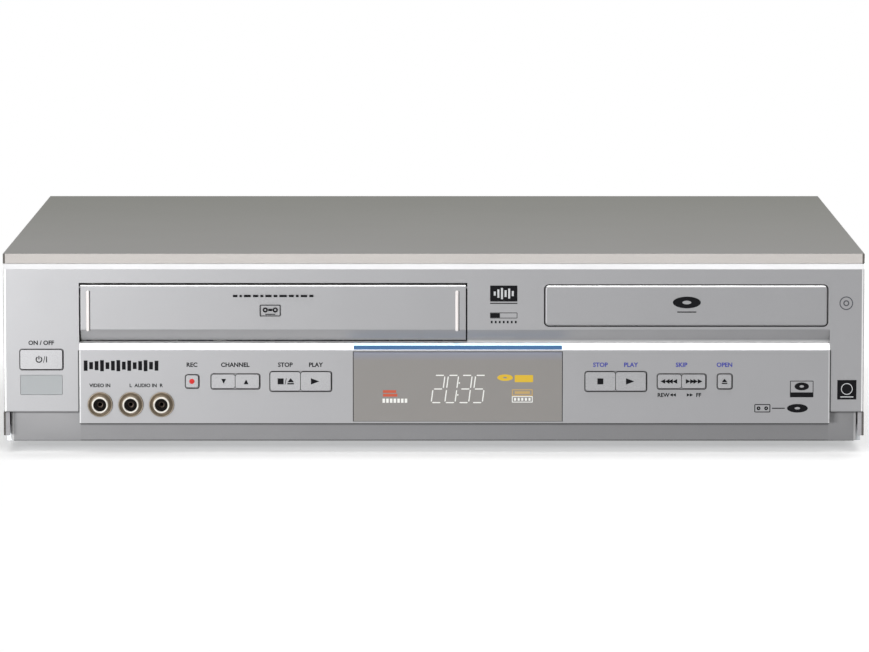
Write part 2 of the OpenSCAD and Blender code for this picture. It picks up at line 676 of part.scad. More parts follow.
module pinch_arm() color([0.68, 0.68, 0.66]) placed() translate([pinch_pivot[0], pinch_pivot[1], deck_top]) {
    difference() {
        union() {
            translate([0, 0, gap]) cylinder(h = 13, r = 4);
            rotate(pinch_angle) translate([0, -2.5, gap]) cube([pinch_arm_len, 5, 3]);
        }
        translate([0, 0, -1]) cylinder(h = 16, r = 2 + running);
    }
    rotate(pinch_angle) translate([pinch_arm_len, 0, gap]) {
        cylinder(h = 3, r = 4);
        cylinder(h = 21, r = 1.5);
    }
}

module pinch_roller() color([0.12, 0.12, 0.12]) placed()
    translate([pinch_pivot[0], pinch_pivot[1], deck_top]) rotate(pinch_angle)
        translate([pinch_arm_len, 0, 3 + 2 * gap]) difference() {
            cylinder(h = 16, r = roller_r);
            translate([0, 0, -1]) cylinder(h = 18, r = 1.5 + running);
        }

module reel(side) color([0.14, 0.14, 0.15]) placed()
    translate([deck_x + side * reel_pitch / 2, hub_y, deck_top + gap]) difference() {
        union() {
            cylinder(h = 5, r = reel_r);
            cylinder(h = 15, r = 8);
            for (a = [0:120:240]) rotate(a) translate([6, -1, 4]) cube([4.5, 2, 13]);
        }
        translate([0, 0, -1]) cylinder(h = 20, r = 1.5 + running);
    }

module supply_reel() reel(-1);
module takeup_reel() reel(1);

module tape_guide(side) color([0.80, 0.80, 0.80]) placed()
    translate([deck_x + side * guide_start[0], guide_start[1], deck_top]) {
        translate([0, 0, gap]) cylinder(h = 3, r = 4.2);
        translate([0, 0, -4]) cylinder(h = 5, r = 2);
        translate([0, 0, 3]) cylinder(h = 18, r = 3);
    }

module supply_guide() tape_guide(-1);
module takeup_guide() tape_guide(1);

module tape_heads() color([0.55, 0.55, 0.56]) placed() for (x = [-52, 52])
    block(deck_x + x - 5, deck_x + x + 5, drum_y - 22, drum_y - 14, deck_top, deck_top + 20);

function inv(a) = tan(a) - a * PI / 180;
// Half the angle that a 20 degree involute tooth spans at radius r
function tooth_half(m, teeth, r) = let (base = m * teeth / 2 * cos(20))
    90 / teeth - backlash / (2 * m * teeth) * 180 / PI + (inv(20) - inv(acos(base / max(r, base)))) * 180 / PI;

module gear_outline(m, teeth) {
    pitch = m * teeth / 2;
    radii = [pitch - 1.25 * m, pitch * cos(20), pitch, pitch + m / 2, pitch + m];
    polygon([for (i = [0:teeth - 1], j = [0:9])
        let (r = radii[j < 5 ? j : 9 - j], a = i * 360 / teeth + (j < 5 ? -1 : 1) * tooth_half(m, teeth, r))
        [r * cos(a), r * sin(a)]]);
}

// Rack teeth from tooth first to tooth last that point along +X from a pitch line at x,
// with a space at y
module rack_outline(m, x, y, first, last) {
    half = PI * m / 4 - backlash / 4;
    for (k = [first:last]) translate([x, y + (k + 0.5) * PI * m])
        polygon([[-1.5 * m, -half - 1.5 * m * tan(20)], [m, -half + m * tan(20)],
            [m, half - m * tan(20)], [-1.5 * m, half + 1.5 * m * tan(20)]]);
}

module loader_frame() color([0.22, 0.22, 0.23]) placed() {
    legs = [for (x = [-1, 1], y = [35, 165]) [tray_x + x * 58, y]];
    difference() {
        union() {
            translate([tray_x, 0, 0]) {
                block(-loader_half, loader_half, loader_y0, loader_y1, loader_deck_z, loader_deck_z + 2);
                both_sides() {
                    block(loader_half, loader_half + loader_t, loader_y0, loader_y1, loader_deck_z, bridge_z);
                    block(loader_half - 3, loader_half + 1, loader_y0, loader_y1, rail_z - 1.2, rail_z - gap);
                    block(loader_half - 3, loader_half + 1, loader_y0, loader_y1, land_z + gap, land_z + gap + 1.5);
                    block(sled_half + 3, sled_half + 7, hinge_y - 5, hinge_y + 5, loader_deck_z, hinge_z + 5);
                }
            }
            for (at = legs) post(at, pan_t, loader_deck_z + 1, 4);
        }
        translate([tray_x, 0, 0]) {
            block(-sled_half - 3, sled_half + 3, sled_y0 - 2, hinge_y + 6, loader_deck_z - 1, loader_deck_z + 3);
            bar_x(hinge_y, hinge_z, -sled_half - 8, sled_half + 8, 2 + running);
        }
        post(motor_at, loader_deck_z - 1, loader_deck_z + 3, 3);
    }
    post(gear_at, loader_deck_z + 1, tray_z - gap, 2);
}

module disc_tray() color([0.20, 0.20, 0.21]) placed() translate([tray_x, 0, 0]) {
    difference() {
        union() {
            block(-tray_w / 2, tray_w / 2, tray_y, tray_y + tray_d, tray_z, land_z);
            both_sides() block(tray_w / 2 - 2, tray_w / 2, tray_y, tray_y + tray_d, rail_z, tray_z + 0.5);
        }
        post([0, disc_y], disc_z, land_z + 1, disc_r + 0.8);
        post([0, disc_y], disc_z - 1, land_z + 1, 41);
        block(-slot_half, slot_half, disc_y - 20, tray_y + tray_d + 1, tray_z - 1, land_z + 1);
    }
    first = ceil((tray_y + 8 - gear_at[1]) / (PI * tray_m));
    last = floor((tray_y + tray_d - gear_at[1]) / (PI * tray_m)) - 1;
    translate([0, 0, rail_z]) linear_extrude(tray_z - rail_z + 0.5) {
        translate([-tray_w / 2 + 1, tray_y + 8])
            square([tray_w / 2 - 1 - rack_line - 1.25 * tray_m, tray_d - 8]);
        rack_outline(tray_m, -rack_line, gear_at[1], first, last);
    }
}

module tray_front() color([0.78, 0.78, 0.79]) placed()
    front_plate(tray_x, tray_front_z + tray_front_h / 2, tray_front_w, tray_front_h, tray_front_r,
        tray_front_y, tray_y);

// Half the outline of a belt pulley, from its bore out
function pulley_outline(bore, r) = [[bore, 0], [r, 0], [r, 1], [r - groove_depth, 2],
    [r - groove_depth, pulley_h - 2], [r, pulley_h - 1], [r, pulley_h], [bore, pulley_h]];

module tray_gear() color([0.90, 0.90, 0.86]) placed() translate([gear_at[0], gear_at[1], pulley_z]) {
    rotate_extrude() polygon(pulley_outline(2 + running, pulley_r));
    translate([0, 0, pulley_h]) linear_extrude(tray_z - 0.4 - pulley_z - pulley_h) difference() {
        gear_outline(tray_m, tray_teeth);
        circle(r = 2 + running);
    }
}

module tray_motor() color([0.75, 0.75, 0.76]) placed() difference() {
    union() {
        post(motor_at, loader_deck_z - 22, loader_deck_z, motor_r);
        post(motor_at, loader_deck_z - 1, loader_deck_z + 2.5, 2.8);
    }
    post(motor_at, loader_deck_z - 10, loader_deck_z + 3, 1 + running);
}

module motor_pulley() color([0.90, 0.90, 0.86]) placed() translate([motor_at[0], motor_at[1], pulley_z]) {
    rotate_extrude() polygon(pulley_outline(0, motor_pulley_r));
    translate([0, 0, -12]) cylinder(h = 13, r = 1);
}

// A loop drawn tight around two circles that lie d apart along X
function loop_points(r1, r2, d) = let (a = acos((r1 - r2) / d)) concat(
    [for (i = [0:36]) let (t = a + i * (360 - 2 * a) / 36) [r1 * cos(t), r1 * sin(t)]],
    [for (i = [0:16]) let (t = -a + i * 2 * a / 16) [d + r2 * cos(t), r2 * sin(t)]]);

module drive_belt() color([0.10, 0.10, 0.10]) placed() {
    run = motor_at - gear_at;
    r1 = pulley_r - groove_depth + 0.1;
    r2 = motor_pulley_r - groove_depth + 0.1;
    translate([gear_at[0], gear_at[1], pulley_z + pulley_h / 2 - 0.45]) rotate(atan2(run[1], run[0]))
        linear_extrude(0.9) difference() {
            polygon(loop_points(r1 + belt_w, r2 + belt_w, norm(run)));
            polygon(loop_points(r1, r2, norm(run)));
        }
}

module traverse_frame() color([0.30, 0.30, 0.31]) placed() translate([tray_x, 0, 0]) {
    block(-sled_half, sled_half, sled_y0, hinge_y, loader_deck_z, loader_deck_z + 2);
    post([0, disc_y], spindle_z - 14, spindle_z, 13);
    post([0, disc_y], spindle_z - 1, disc_z + 1, 1.5);
    both_sides() {
        difference() {
            for (y = [rod_y0 - 3, rod_y1]) block(rod_x - 3, rod_x + 3, y, y + 3, loader_deck_z + 1, rod_z + 3);
            bar_y(rod_x, rod_z, rod_y0 - 4, rod_y1 + 4, rod_r);
        }
        bar_x(hinge_y, hinge_z, sled_half - 6, sled_half, 3);
        bar_x(hinge_y, hinge_z, sled_half - 1, sled_half + 6.5, 2);
    }
    post([feed_at[0] - tray_x, feed_at[1]], loader_deck_z + 1, rod_z + 3.5, 1.5);
}

module guide_rods() color([0.80, 0.80, 0.82]) placed() translate([tray_x, 0, 0])
    both_sides() bar_y(rod_x, rod_z, rod_y0 - 3, rod_y1 + 3, rod_r);

module turntable() color([0.16, 0.16, 0.17]) placed() translate([tray_x, disc_y, 0]) difference() {
    union() {
        post([0, 0], spindle_z + gap, disc_z, 5);
        post([0, 0], disc_z - 1, disc_z + 1.5, turntable_r);
        post([0, 0], disc_z + 1, disc_z + 3.5, 7.3);
    }
    post([0, 0], spindle_z, disc_z + 1.2, 1.5 + running);
}

module optical_pickup() color([0.24, 0.24, 0.26]) placed() translate([tray_x, 0, 0]) {
    difference() {
        block(-26.5, 26.5, pickup_y, pickup_y + pickup_d, rod_z - 3, rod_z + 4.5);
        both_sides() bar_y(rod_x, rod_z, pickup_y - 1, pickup_y + pickup_d + 1, rod_r + running);
    }
    post([0, pickup_y + 12], rod_z + 4, rod_z + 7.5, 3.5);
    teeth_back = ceil((pickup_travel + 3) / (PI * feed_m));
    translate([0, 0, rod_z - 1]) linear_extrude(4) {
        translate([26, feed_at[1] - pickup_travel - 4])
            square([feed_line - 1.25 * feed_m - 26, pickup_travel + 8]);
        rack_outline(feed_m, feed_line, feed_at[1], -teeth_back + 1, 0);
    }
}

module feed_gear() color([0.90, 0.90, 0.86]) placed()
    translate([feed_at[0], feed_at[1], loader_deck_z + 2 + gap]) difference() {
        union() {
            cylinder(h = 5, r = 3);
            translate([0, 0, rod_z - loader_deck_z - 3 - gap]) linear_extrude(4) gear_outline(feed_m, feed_teeth);
        }
        translate([0, 0, -1]) cylinder(h = 14, r = 1.5 + running);
    }

module clamp_bridge() color([0.66, 0.66, 0.66]) placed() translate([tray_x, 0, 0]) difference() {
    block(-loader_half - loader_t, loader_half + loader_t, disc_y - 18, disc_y + 18, bridge_z, bridge_z + 1.5);
    post([0, disc_y], bridge_z - 1, bridge_z + 3, 9.5);
}

module clamper() color([0.85, 0.85, 0.83]) placed() translate([tray_x, disc_y, 0]) {
    post([0, 0], clamp_z, clamp_z + 2, 14);
    post([0, 0], clamp_z + 1, bridge_z + 3, 8);
    post([0, 0], bridge_z + 2.5, bridge_z + 4, 11.5);
}

module main_board() color([0.18, 0.40, 0.24]) placed() {
    top = board_z + board_t;
    difference() {
        block(main_x0, main_x1, main_y0, panel_out_y - 15, board_z, top);
        for (x = [-1, 1], y = [35, 165]) post([tray_x + x * 58, y], board_z - 1, top + 1, 5);
    }
    block(rear_x0 - 9, rear_x0 + (rear_columns - 1) * rear_pitch + 9, panel_out_y - pan_t - 16,
        panel_out_y - pan_t, board_z, rear_z0 + rear_pitch + 8);
    translate([main_x0, main_y0, top - 0.5]) {
        block(55, 83, 178, 206, 0, 3);
        block(100, 120, 173, 187, 0, 2.5);
        block(20, 36, 223, 263, 0, 9.5);
        for (x = [20:14:48]) post([x, 188], 0, 12.5, 4);
        for (x = [110:12:146]) post([x, 233], 0, 10.5, 3);
    }
}

module power_board() color([0.66, 0.54, 0.32]) placed() {
    block(power_x0, power_x1, power_y0, power_y1, board_z, board_z + board_t);
    translate([power_x0, power_y0, board_z + board_t]) {
        block(75, 107, 10, 42, -0.5, 27);
        post([51, 25], -0.5, 30, 9);
        for (x = [113, 123]) post([x, 15], -0.5, 20, 4);
        block(61, 101, 47, 49, -0.5, 34);
        for (x = [61:8:101]) block(x, x + 1.2, 48, 59, 2, 34);
    }
}

module tuner() color([0.74, 0.74, 0.75]) placed() {
    inner = panel_out_y - pan_t;
    block(tuner_x - 22, tuner_x + 22, inner - 55, inner, pan_t, tuner_z[1] + 14);
    for (z = tuner_z) difference() {
        union() {
            bar_y(tuner_x, z, inner - 0.5, panel_out_y + aerial_len, aerial_r);
            translate([tuner_x, panel_out_y + 2.5, z]) rotate([90, 0, 0]) cylinder(h = 2.5, r = 7.5, $fn = 6);
        }
        bar_y(tuner_x, z, panel_out_y + 2, panel_out_y + aerial_len + 1, 1);
    }
}

module rear_socket_shells() color([0.78, 0.77, 0.74]) placed() for (at = rear_sockets) difference() {
    bar_y(at[0], at[1], panel_out_y - pan_t, panel_out_y + rear_socket_proud, socket_r);
    bar_y(at[0], at[1], panel_out_y - 2, panel_out_y + rear_socket_proud + 1, socket_r - 0.85);
}

module rear_socket_inserts() color([0.85, 0.72, 0.15]) placed() for (at = rear_sockets) difference() {
    bar_y(at[0], at[1], panel_out_y - pan_t, panel_out_y + rear_socket_proud - 1, socket_r - 0.85);
    bar_y(at[0], at[1], panel_out_y + 0.5, panel_out_y + rear_socket_proud, socket_bore_r);
}

module mains_inlet() color([0.10, 0.10, 0.10]) placed() {
    difference() {
        union() {
            block(inlet_x - 14, inlet_x + 14, panel_out_y, panel_out_y + 1.5, inlet_z - 9.5, inlet_z + 9.5);
            block(inlet_x - 12, inlet_x + 12, panel_out_y - 16, panel_out_y + 1, inlet_z - 8, inlet_z + 8);
            block(inlet_x - 8, inlet_x + 8, panel_out_y - 16, power_y1, board_z + board_t, inlet_z - 7);
        }
        block(inlet_x - 4.2, inlet_x + 4.2, panel_out_y - 12, panel_out_y + 2, inlet_z - 4.2, inlet_z + 4.2);
        for (x = [-4.2, 4.2]) bar_y(inlet_x + x, inlet_z, panel_out_y - 12, panel_out_y + 2, 4.3);
    }
    for (x = [-4.3, 4.3]) bar_y(inlet_x + x, inlet_z, panel_out_y - 13, panel_out_y - 1, 1.18);
}

top_cover();
base_chassis();
rear_panel();
front_bezel();
base_skirt();
feet();
cover_screws();
display_window();
light_pipe();
sensor_window();
front_socket_shells();
front_socket_inserts();
front_board();
button_power();
button_record();
button_channel_down();
button_channel_up();
button_tape_stop();
button_tape_play();
button_disc_stop();
button_disc_play();
button_skip_back();
button_skip_forward();
button_open();
cassette_door();
display_module();
deck_plate();
deck_side_frames();
basket_carriage();
cassette_basket();
lower_drum();
upper_drum();
capstan();
pinch_arm();
pinch_roller();
supply_reel();
takeup_reel();
supply_guide();
takeup_guide();
tape_heads();
loader_frame();
disc_tray();
tray_front();
tray_gear();
tray_motor();
motor_pulley();
drive_belt();
traverse_frame();
guide_rods();
turntable();
optical_pickup();
feed_gear();
clamp_bridge();
clamper();
main_board();
power_board();
tuner();
rear_socket_shells();
rear_socket_inserts();
mains_inlet();
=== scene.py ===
import json
import math
import bmesh
import bpy
from mathutils import Matrix, Vector


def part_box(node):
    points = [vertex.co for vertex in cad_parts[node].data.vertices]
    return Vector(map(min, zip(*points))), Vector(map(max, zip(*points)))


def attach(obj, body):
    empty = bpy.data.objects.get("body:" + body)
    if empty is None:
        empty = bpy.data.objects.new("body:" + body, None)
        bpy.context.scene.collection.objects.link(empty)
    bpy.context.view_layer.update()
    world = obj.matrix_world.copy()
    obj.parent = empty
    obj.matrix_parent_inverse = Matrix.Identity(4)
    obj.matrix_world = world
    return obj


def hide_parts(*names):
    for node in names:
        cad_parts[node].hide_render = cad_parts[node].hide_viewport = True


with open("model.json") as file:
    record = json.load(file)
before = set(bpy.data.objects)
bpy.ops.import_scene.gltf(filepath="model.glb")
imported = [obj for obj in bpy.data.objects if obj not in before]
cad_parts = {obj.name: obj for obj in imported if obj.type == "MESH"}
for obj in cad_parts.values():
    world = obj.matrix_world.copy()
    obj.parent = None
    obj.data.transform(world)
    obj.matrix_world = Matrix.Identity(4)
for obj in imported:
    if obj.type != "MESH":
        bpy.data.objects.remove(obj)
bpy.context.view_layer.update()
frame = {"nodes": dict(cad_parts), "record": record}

# Disc player and tape recorder: finishes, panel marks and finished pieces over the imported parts.
# The scene is in metres in the parts' own frame: X right, Y back, Z up. Looks are in millimetres.

mm = 0.001
nodes = frame["nodes"]
panelLow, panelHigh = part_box("front_bezel")
coverLow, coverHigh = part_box("top_cover")
panelY = panelLow.y  # face of the lower panel
faceY = panelY + 1 * mm  # face of the upper part and of the panel's ends


# Shader sums

class Wire:  # a node's output, which takes part in sums
    def __init__(self, finish, socket):
        self.finish = finish
        self.socket = socket

    def sum(self, operation, *values):
        return self.finish.add("Math", dict(enumerate(values)), operation=operation)

    def __add__(self, other):
        return self.sum("ADD", self, other)

    def __radd__(self, other):
        return self.sum("ADD", other, self)

    def __sub__(self, other):
        return self.sum("SUBTRACT", self, other)

    def __rsub__(self, other):
        return self.sum("SUBTRACT", other, self)

    def __mul__(self, other):
        return self.sum("MULTIPLY", self, other)

    def __lt__(self, other):
        return self.sum("LESS_THAN", self, other)

    def __gt__(self, other):
        return self.sum("GREATER_THAN", self, other)

    def __abs__(self):
        return self.sum("ABSOLUTE", self)


def between(value, low, high):  # 1 between two values, 0 outside them
    return (value > low) * (value < high)


class Finish:  # one material and what builds its nodes
    def __init__(self, name):
        self.material = bpy.data.materials.new(name)
        self.material.use_nodes = True
        self.tree = self.material.node_tree
        self.tree.nodes.clear()

    def add(self, kind, values=None, out=0, **settings):
        node = self.tree.nodes.new("ShaderNode" + kind)
        for key, value in settings.items():
            setattr(node, key, value)
        for place, value in (values or {}).items():
            if isinstance(value, Wire):
                self.tree.links.new(value.socket, node.inputs[place])
            else:
                node.inputs[place].default_value = value
        return Wire(self, node.outputs[out]) if len(node.outputs) else node

    def place(self, scale=(1, 1, 1)):
        return self.add("Mapping", {"Vector": self.add("TexCoord", out="Object"), "Scale": scale})

    def at(self, axis):  # how far along X, Y or Z a place lies, in mm
        where = self.add("TexCoord", out="Object")
        return self.add("SeparateXYZ", {0: where}, axis) * (1 / mm)

    def noise(self, scale, detail, rough, stretch=(1, 1, 1)):
        return self.add("TexNoise", {"Vector": self.place(stretch), "Scale": scale,
                                     "Detail": detail, "Roughness": rough})

    def steps(self, value, low, high):  # 0 below low, 1 above high
        return self.add("MapRange", {"Value": value, "From Min": low, "From Max": high}, clamp=True)

    def blend(self, factor, first, second):
        return self.add("Mix", {0: factor, 6: first, 7: second}, 2, data_type="RGBA")

    def surface(self, color, rough, others, bump=None):  # bump: height, strength, distance
        values = {"Base Color": color, "Roughness": rough, **others}
        if bump:
            values["Normal"] = self.add("Bump", dict(zip(("Height", "Strength", "Distance"), bump)))
        self.add("OutputMaterial", {"Surface": self.add("BsdfPrincipled", values)})


def tone(red, green, blue):  # a 0 to 255 screen colour as a linear one
    def linear(c):
        c /= 255
        return c / 12.92 if c < 0.04045 else ((c + 0.055) / 1.055) ** 2.4
    return (linear(red), linear(green), linear(blue), 1)


def grey(level):
    return (level, level, level, 1)


def shade(color, factor):
    return (color[0] * factor, color[1] * factor, color[2] * factor, 1)


# Finishes

silverLook = {
    "color": tone(155, 155, 157),
    "bright": tone(255, 255, 255),  # edges and strips that shine
    "inside": tone(40, 40, 42),  # unpainted plastic behind the painted skin, and painted shade
    "metal": 0.34,
    "brightMetal": 0.45,  # what a shining place adds to it
    "rough": 0.34,
    "flakeScale": 5200,  # metal flakes in the paint, per metre
    "flake": 0.10,
    "mottle": 0.035,
    "orangePeel": 900,
}


def silverPaint(f, look, darker, masks):  # masks give the painted highlights, what is bare or in painted shade, the highlight's colour
    flakes = f.steps(f.noise(look["flakeScale"], 1, 0.4), 0.35, 0.65)
    mottle = f.steps(f.noise(38, 4, 0.6), 0.3, 0.7)
    base = shade(look["color"], darker)
    color = f.blend(flakes * look["flake"] * 2, base, shade(base, 1.25))
    color = f.blend(mottle * look["mottle"] * 2, color, shade(base, 0.8))
    bright, inside, sheen = masks(f, *(f.at(axis) for axis in "XYZ"))
    color = f.blend(bright, color, sheen or look["bright"])
    color = f.blend(inside, color, look["inside"])
    metal = (1 - inside) * (look["metal"] + bright * look["brightMetal"])
    rough = look["rough"] + (flakes - 0.5) * 0.08 + (mottle - 0.5) * 0.05
    peel = f.noise(look["orangePeel"], 2, 0.5)
    f.surface(color, rough, {"Metallic": metal, "Specular IOR Level": 0.45}, (peel, 0.10, 0.00006))


panelLook = {  # in mm: where the front's painted highlights, painted shadow lines, painted shade and bare inside lie
    "x": (-176.9, 197.7),  # ends of the raised lower panel
    "side": 214.4,  # half the painted width
    "band": (51.5, 54.8),  # the strip painted white as a highlight
    "ledge": 0.4,  # which lies at least this far behind the lower face
    "slope": (55.1, 56.5),  # its light fades up the groove's slope between these
    "groove": (51.35, 62.0),
    "slopeShade": (20.0, 190.0),  # painted shade: the slope grows dimmer from the first x to the second
    "chamfer": (92.0, 0.15),  # painted highlight on the chamfer, from this height up and this far behind the upper face
    "front": 0.7,  # how deep the face's own edges go
    "skin": (0.3, 91.6),  # how deep the paint goes, up to this height
    "lowEdges": (14.5, 20.5),  # lower edges of the raised panel and of the ends
    "line": 0.4,  # the painted shadow line along them
    "beside": 0.75,  # the painted shadow line at the raised panel's sides
    "rims": (0.1, 0.6, 0.8),  # painted shade rim of the ends, painted highlight rims of the panel and of the ends
    "bar": (-40.0, 64.1),  # ends of the light bar
    "glow": tone(184, 212, 248),  # and its light on the strip
}
panelWeights = {  # how strongly each painted highlight or painted shade shows
    "slope": 0.85, "chamfer": 0.12, "endRim": 0.6, "panelRim": 0.27,
    "slopeShade": 0.22, "endLine": 0.5, "beside": 0.85, "outer": 0.7,
}


# The front's painted highlights and painted glow, and its bare inside with painted shadow lines and painted
# shade
def panelMasks(f, x, y, z):
    look, weight = panelLook, panelWeights
    face, upper = panelY / mm, faceY / mm
    (left, right), side, (skin, skinTop) = look["x"], look["side"], look["skin"]
    darkRim, panelRim, endRim = look["rims"]
    chamferAt, chamferDeep = look["chamfer"]
    onPanel = between(x, left, right)
    offPanel = 1 - onPanel
    belowGroove = z < look["groove"][0]
    inGroove = onPanel * between(z, *look["groove"])
    atFront = (y < upper + look["front"]) * (z < chamferAt)

    bareLow = onPanel * belowGroove * (y > face + skin)
    bareHigh = (1 - inGroove) * (y > upper + skin) * (z < skinTop)
    bareAndShaded = f.steps((bareLow + bareHigh) * between(x, -side, side), 0, 1)
    # painted shadow lines along the lower edges, at the raised panel's sides and at the outer rims; painted
    # shade on the slope
    panelLine, endLine = (z < edge + look["line"] for edge in look["lowEdges"])
    lines = onPanel * panelLine + offPanel * endLine * weight["endLine"]
    beside = offPanel * belowGroove * between(x, left - look["beside"], right + look["beside"])
    outer = 1 - between(x, darkRim - side, side - darkRim)
    slopeShade = inGroove * (z > look["slope"][1]) * f.steps(x, *look["slopeShade"])
    lines = lines + beside * weight["beside"] + outer * weight["outer"]
    bareAndShaded = f.steps(bareAndShaded + slopeShade * weight["slopeShade"] + atFront * lines, 0, 1)

    # painted highlights on the strip, the groove's slope, the chamfer and the rims, and the light bar's
    # painted glow on the strip
    band = onPanel * (y > face + look["ledge"]) * between(z, *look["band"])
    slope = onPanel * (z > look["band"][1]) * (1 - f.steps(z, *look["slope"]))
    chamfer = (z > chamferAt) * (y > upper + chamferDeep)
    ends = atFront * offPanel * (1 - between(x, endRim - side, side - endRim))
    sides = onPanel * belowGroove * (1 - between(x, left + panelRim, right - panelRim))
    bright = band + slope * weight["slope"] + chamfer * weight["chamfer"]
    bright = f.steps(bright + ends * weight["endRim"] + sides * weight["panelRim"], 0, 1)
    barLeft, barRight = look["bar"]
    nearBar = f.steps(x, barLeft - 5, barLeft + 1) * (1 - f.steps(x, barRight - 1, barRight + 5))
    return bright, bareAndShaded, f.blend(nearBar * band, silverLook["bright"], look["glow"])


capProud = 0.8  # mm: how far the buttons' caps stand out


def capMasks(face):  # a button's cap: a painted highlight on its rim, and behind it the paint ends, bare and in painted shade
    def masks(f, x, y, z):
        return between(y, face + 0.05, face + 0.3) * 0.8, y > face + 0.5, None
    return masks


def flapMasks(node, depth, edge, bareFrom=-999.0):  # a door's or tray's front: a painted highlight along its upper edge, and behind the face bare plastic in painted shade
    low, high = (corner.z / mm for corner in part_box(node))

    def masks(f, x, y, z):
        bareAndShaded = (y > faceY / mm + depth) * (z > low + bareFrom)
        return f.steps(z, high - edge, high - edge + 0.15), bareAndShaded, None
    return masks


skirtLook = {  # in mm
    "behind": 1.55,  # the panel's shadow line starts this far below its lower edges
    "ends": 210.4,  # the skirt's rounded ends catch light beyond this x
    "rise": (4, 19),  # painted light: its ends grow lighter between these heights
    "foot": 0.7,  # height of the painted shadow line along its own lower edge
}


# Painted shadow under the panel and along the skirt's lower edge, painted light on its ends
def skirtMasks(f, x, y, z):
    look = skirtLook
    onPanel = between(x, *panelLook["x"])
    underPanel, underEnds = (z > edge - look["behind"] for edge in panelLook["lowEdges"])
    shadow = onPanel * underPanel + (1 - onPanel) * underEnds
    foot = onPanel * (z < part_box("base_skirt")[0].z / mm + look["foot"])
    ends = 1 - between(x, -look["ends"], look["ends"])
    upper = (1 - onPanel) * f.steps(z, *look["rise"])
    return f.steps(ends * 0.22 + upper * 0.05, 0, 1), shadow * 0.5 + foot * 0.4, None


coverLook = {
    "front": tone(156, 155, 153),
    "back": tone(146, 146, 141),
    "fade": 350,  # mm from the front, over which the colour changes
    "rim": tone(84, 80, 76),  # a dark line along the sheet's front edge at the sides
    "rimWidth": 1.1,
    "lip": tone(218, 213, 209),  # the fold that stands over the front panel, lighter as painted light
    "lipEnd": (2.8, 3.4),  # how far it reaches behind the panel's upper face
    "fold": tone(176, 175, 178),  # the same fold at the sides, with less painted light
    "foldTop": 60,  # below this height
    "rough": 0.7,
    "grainScale": 1500,
    "grain": 0.25,
}


def coverPaint(f, look):  # matt textured paint on steel
    grain = f.noise(look["grainScale"], 2, 0.6)
    mottle = f.steps(f.noise(14, 3, 0.5), 0.3, 0.7)
    x, y, z = (f.at(axis) for axis in "XYZ")
    toBack = f.steps(y, panelY / mm, panelY / mm + look["fade"])
    lip = 1 - f.steps(y, *(faceY / mm + end for end in look["lipEnd"]))
    rim = 1 - between(x, coverLow.x / mm + look["rimWidth"], coverHigh.x / mm - look["rimWidth"])
    # painted light: the front fold lighter, less so at the sides below foldTop
    color = f.blend(lip, f.blend(toBack, look["front"], look["back"]), look["lip"])
    color = f.blend(lip * (z < look["foldTop"]), color, look["fold"])
    color = f.blend(lip * rim * 0.9, color, look["rim"])
    color = f.blend(f.steps(grain, 0.35, 0.7) * 0.10, color, shade(look["front"], 1.35))
    color = f.blend(mottle * 0.07, color, shade(look["back"], 0.8))
    rough = look["rough"] + (grain - 0.5) * 0.2
    f.surface(color, rough, {"Specular IOR Level": 0.0}, (grain, look["grain"], 0.00010))


def mouldedPlastic(f, color, rough, grainScale=1600, grain=0.15, level=0.4):
    fine = f.noise(grainScale, 2, 0.6)
    cloud = f.steps(f.noise(30, 3, 0.5), 0.3, 0.7)
    shades = f.blend(cloud * 0.12, color, shade(color, 0.72))
    shades = f.blend(f.steps(fine, 0.5, 0.8) * 0.08, shades, shade(color, 1.4))
    f.surface(shades, rough + (cloud - 0.5) * 0.08, {"Specular IOR Level": level}, (fine, grain, 0.00006))


def rolledSteel(f, color, rough):
    streaks = f.noise(130, 4, 0.65, (1, 14, 14))
    spangle = f.add("TexVoronoi", {"Vector": f.place(), "Scale": 130}, 1)
    patch = f.add("SeparateColor", {0: spangle})
    shades = f.blend(f.steps(streaks, 0.3, 0.7) * 0.22, color, shade(color, 0.7))
    shades = f.blend(patch * 0.10, shades, shade(color, 1.3))
    rough = rough + (streaks - 0.5) * 0.22 + patch * 0.05
    f.surface(shades, rough, {"Metallic": 0.9}, (streaks, 0.06, 0.00005))


def turnedMetal(f, color, rough, metal=1.0):
    rings = f.noise(900, 2, 0.5, (1, 0.2, 1))
    dull = f.steps(f.noise(160, 3, 0.6), 0.35, 0.7)
    shades = f.blend(dull * 0.25, color, shade(color, 0.62))
    f.surface(shades, rough + dull * 0.12, {"Metallic": metal}, (rings, 0.08, 0.00004))


def rubberSkin(f, color):
    fine = f.noise(1400, 3, 0.7)
    dusty = f.steps(f.noise(60, 4, 0.6), 0.45, 0.75)
    shades = f.blend(dusty * 0.25, color, shade(color, 2.2))
    f.surface(shades, 0.72 + (dusty - 0.5) * 0.15, {"Specular IOR Level": 0.3}, (fine, 0.3, 0.00008))


boardTop = 1.7  # mm: what lies farther than this from a board's bare side stands on it
chipBlack, capBlue = tone(30, 30, 33), tone(36, 44, 78)
boardBits = {  # what stands there: x and y ranges from the board's corner, colour, metal
    "main_board": [((55, 83, 178, 206), chipBlack, 0), ((100, 120, 173, 187), chipBlack, 0),
                   ((20, 36, 223, 263), tone(214, 208, 190), 0), ((15, 54, 183, 193), capBlue, 0),
                   ((106, 150, 229, 237), tone(24, 24, 26), 0), ((40, 150, 264, 400), tone(52, 52, 55), 0)],
    "power_board": [((74, 108, 9, 43), tone(206, 176, 74), 0), ((41, 61, 15, 35), tone(26, 26, 30), 0),
                    ((108, 128, 10, 20), capBlue, 0), ((60, 103, 46, 60), tone(196, 198, 202), 0.85)],
    "front_board": [((-9, 999, -9, 999), tone(40, 40, 43), 0)],
}


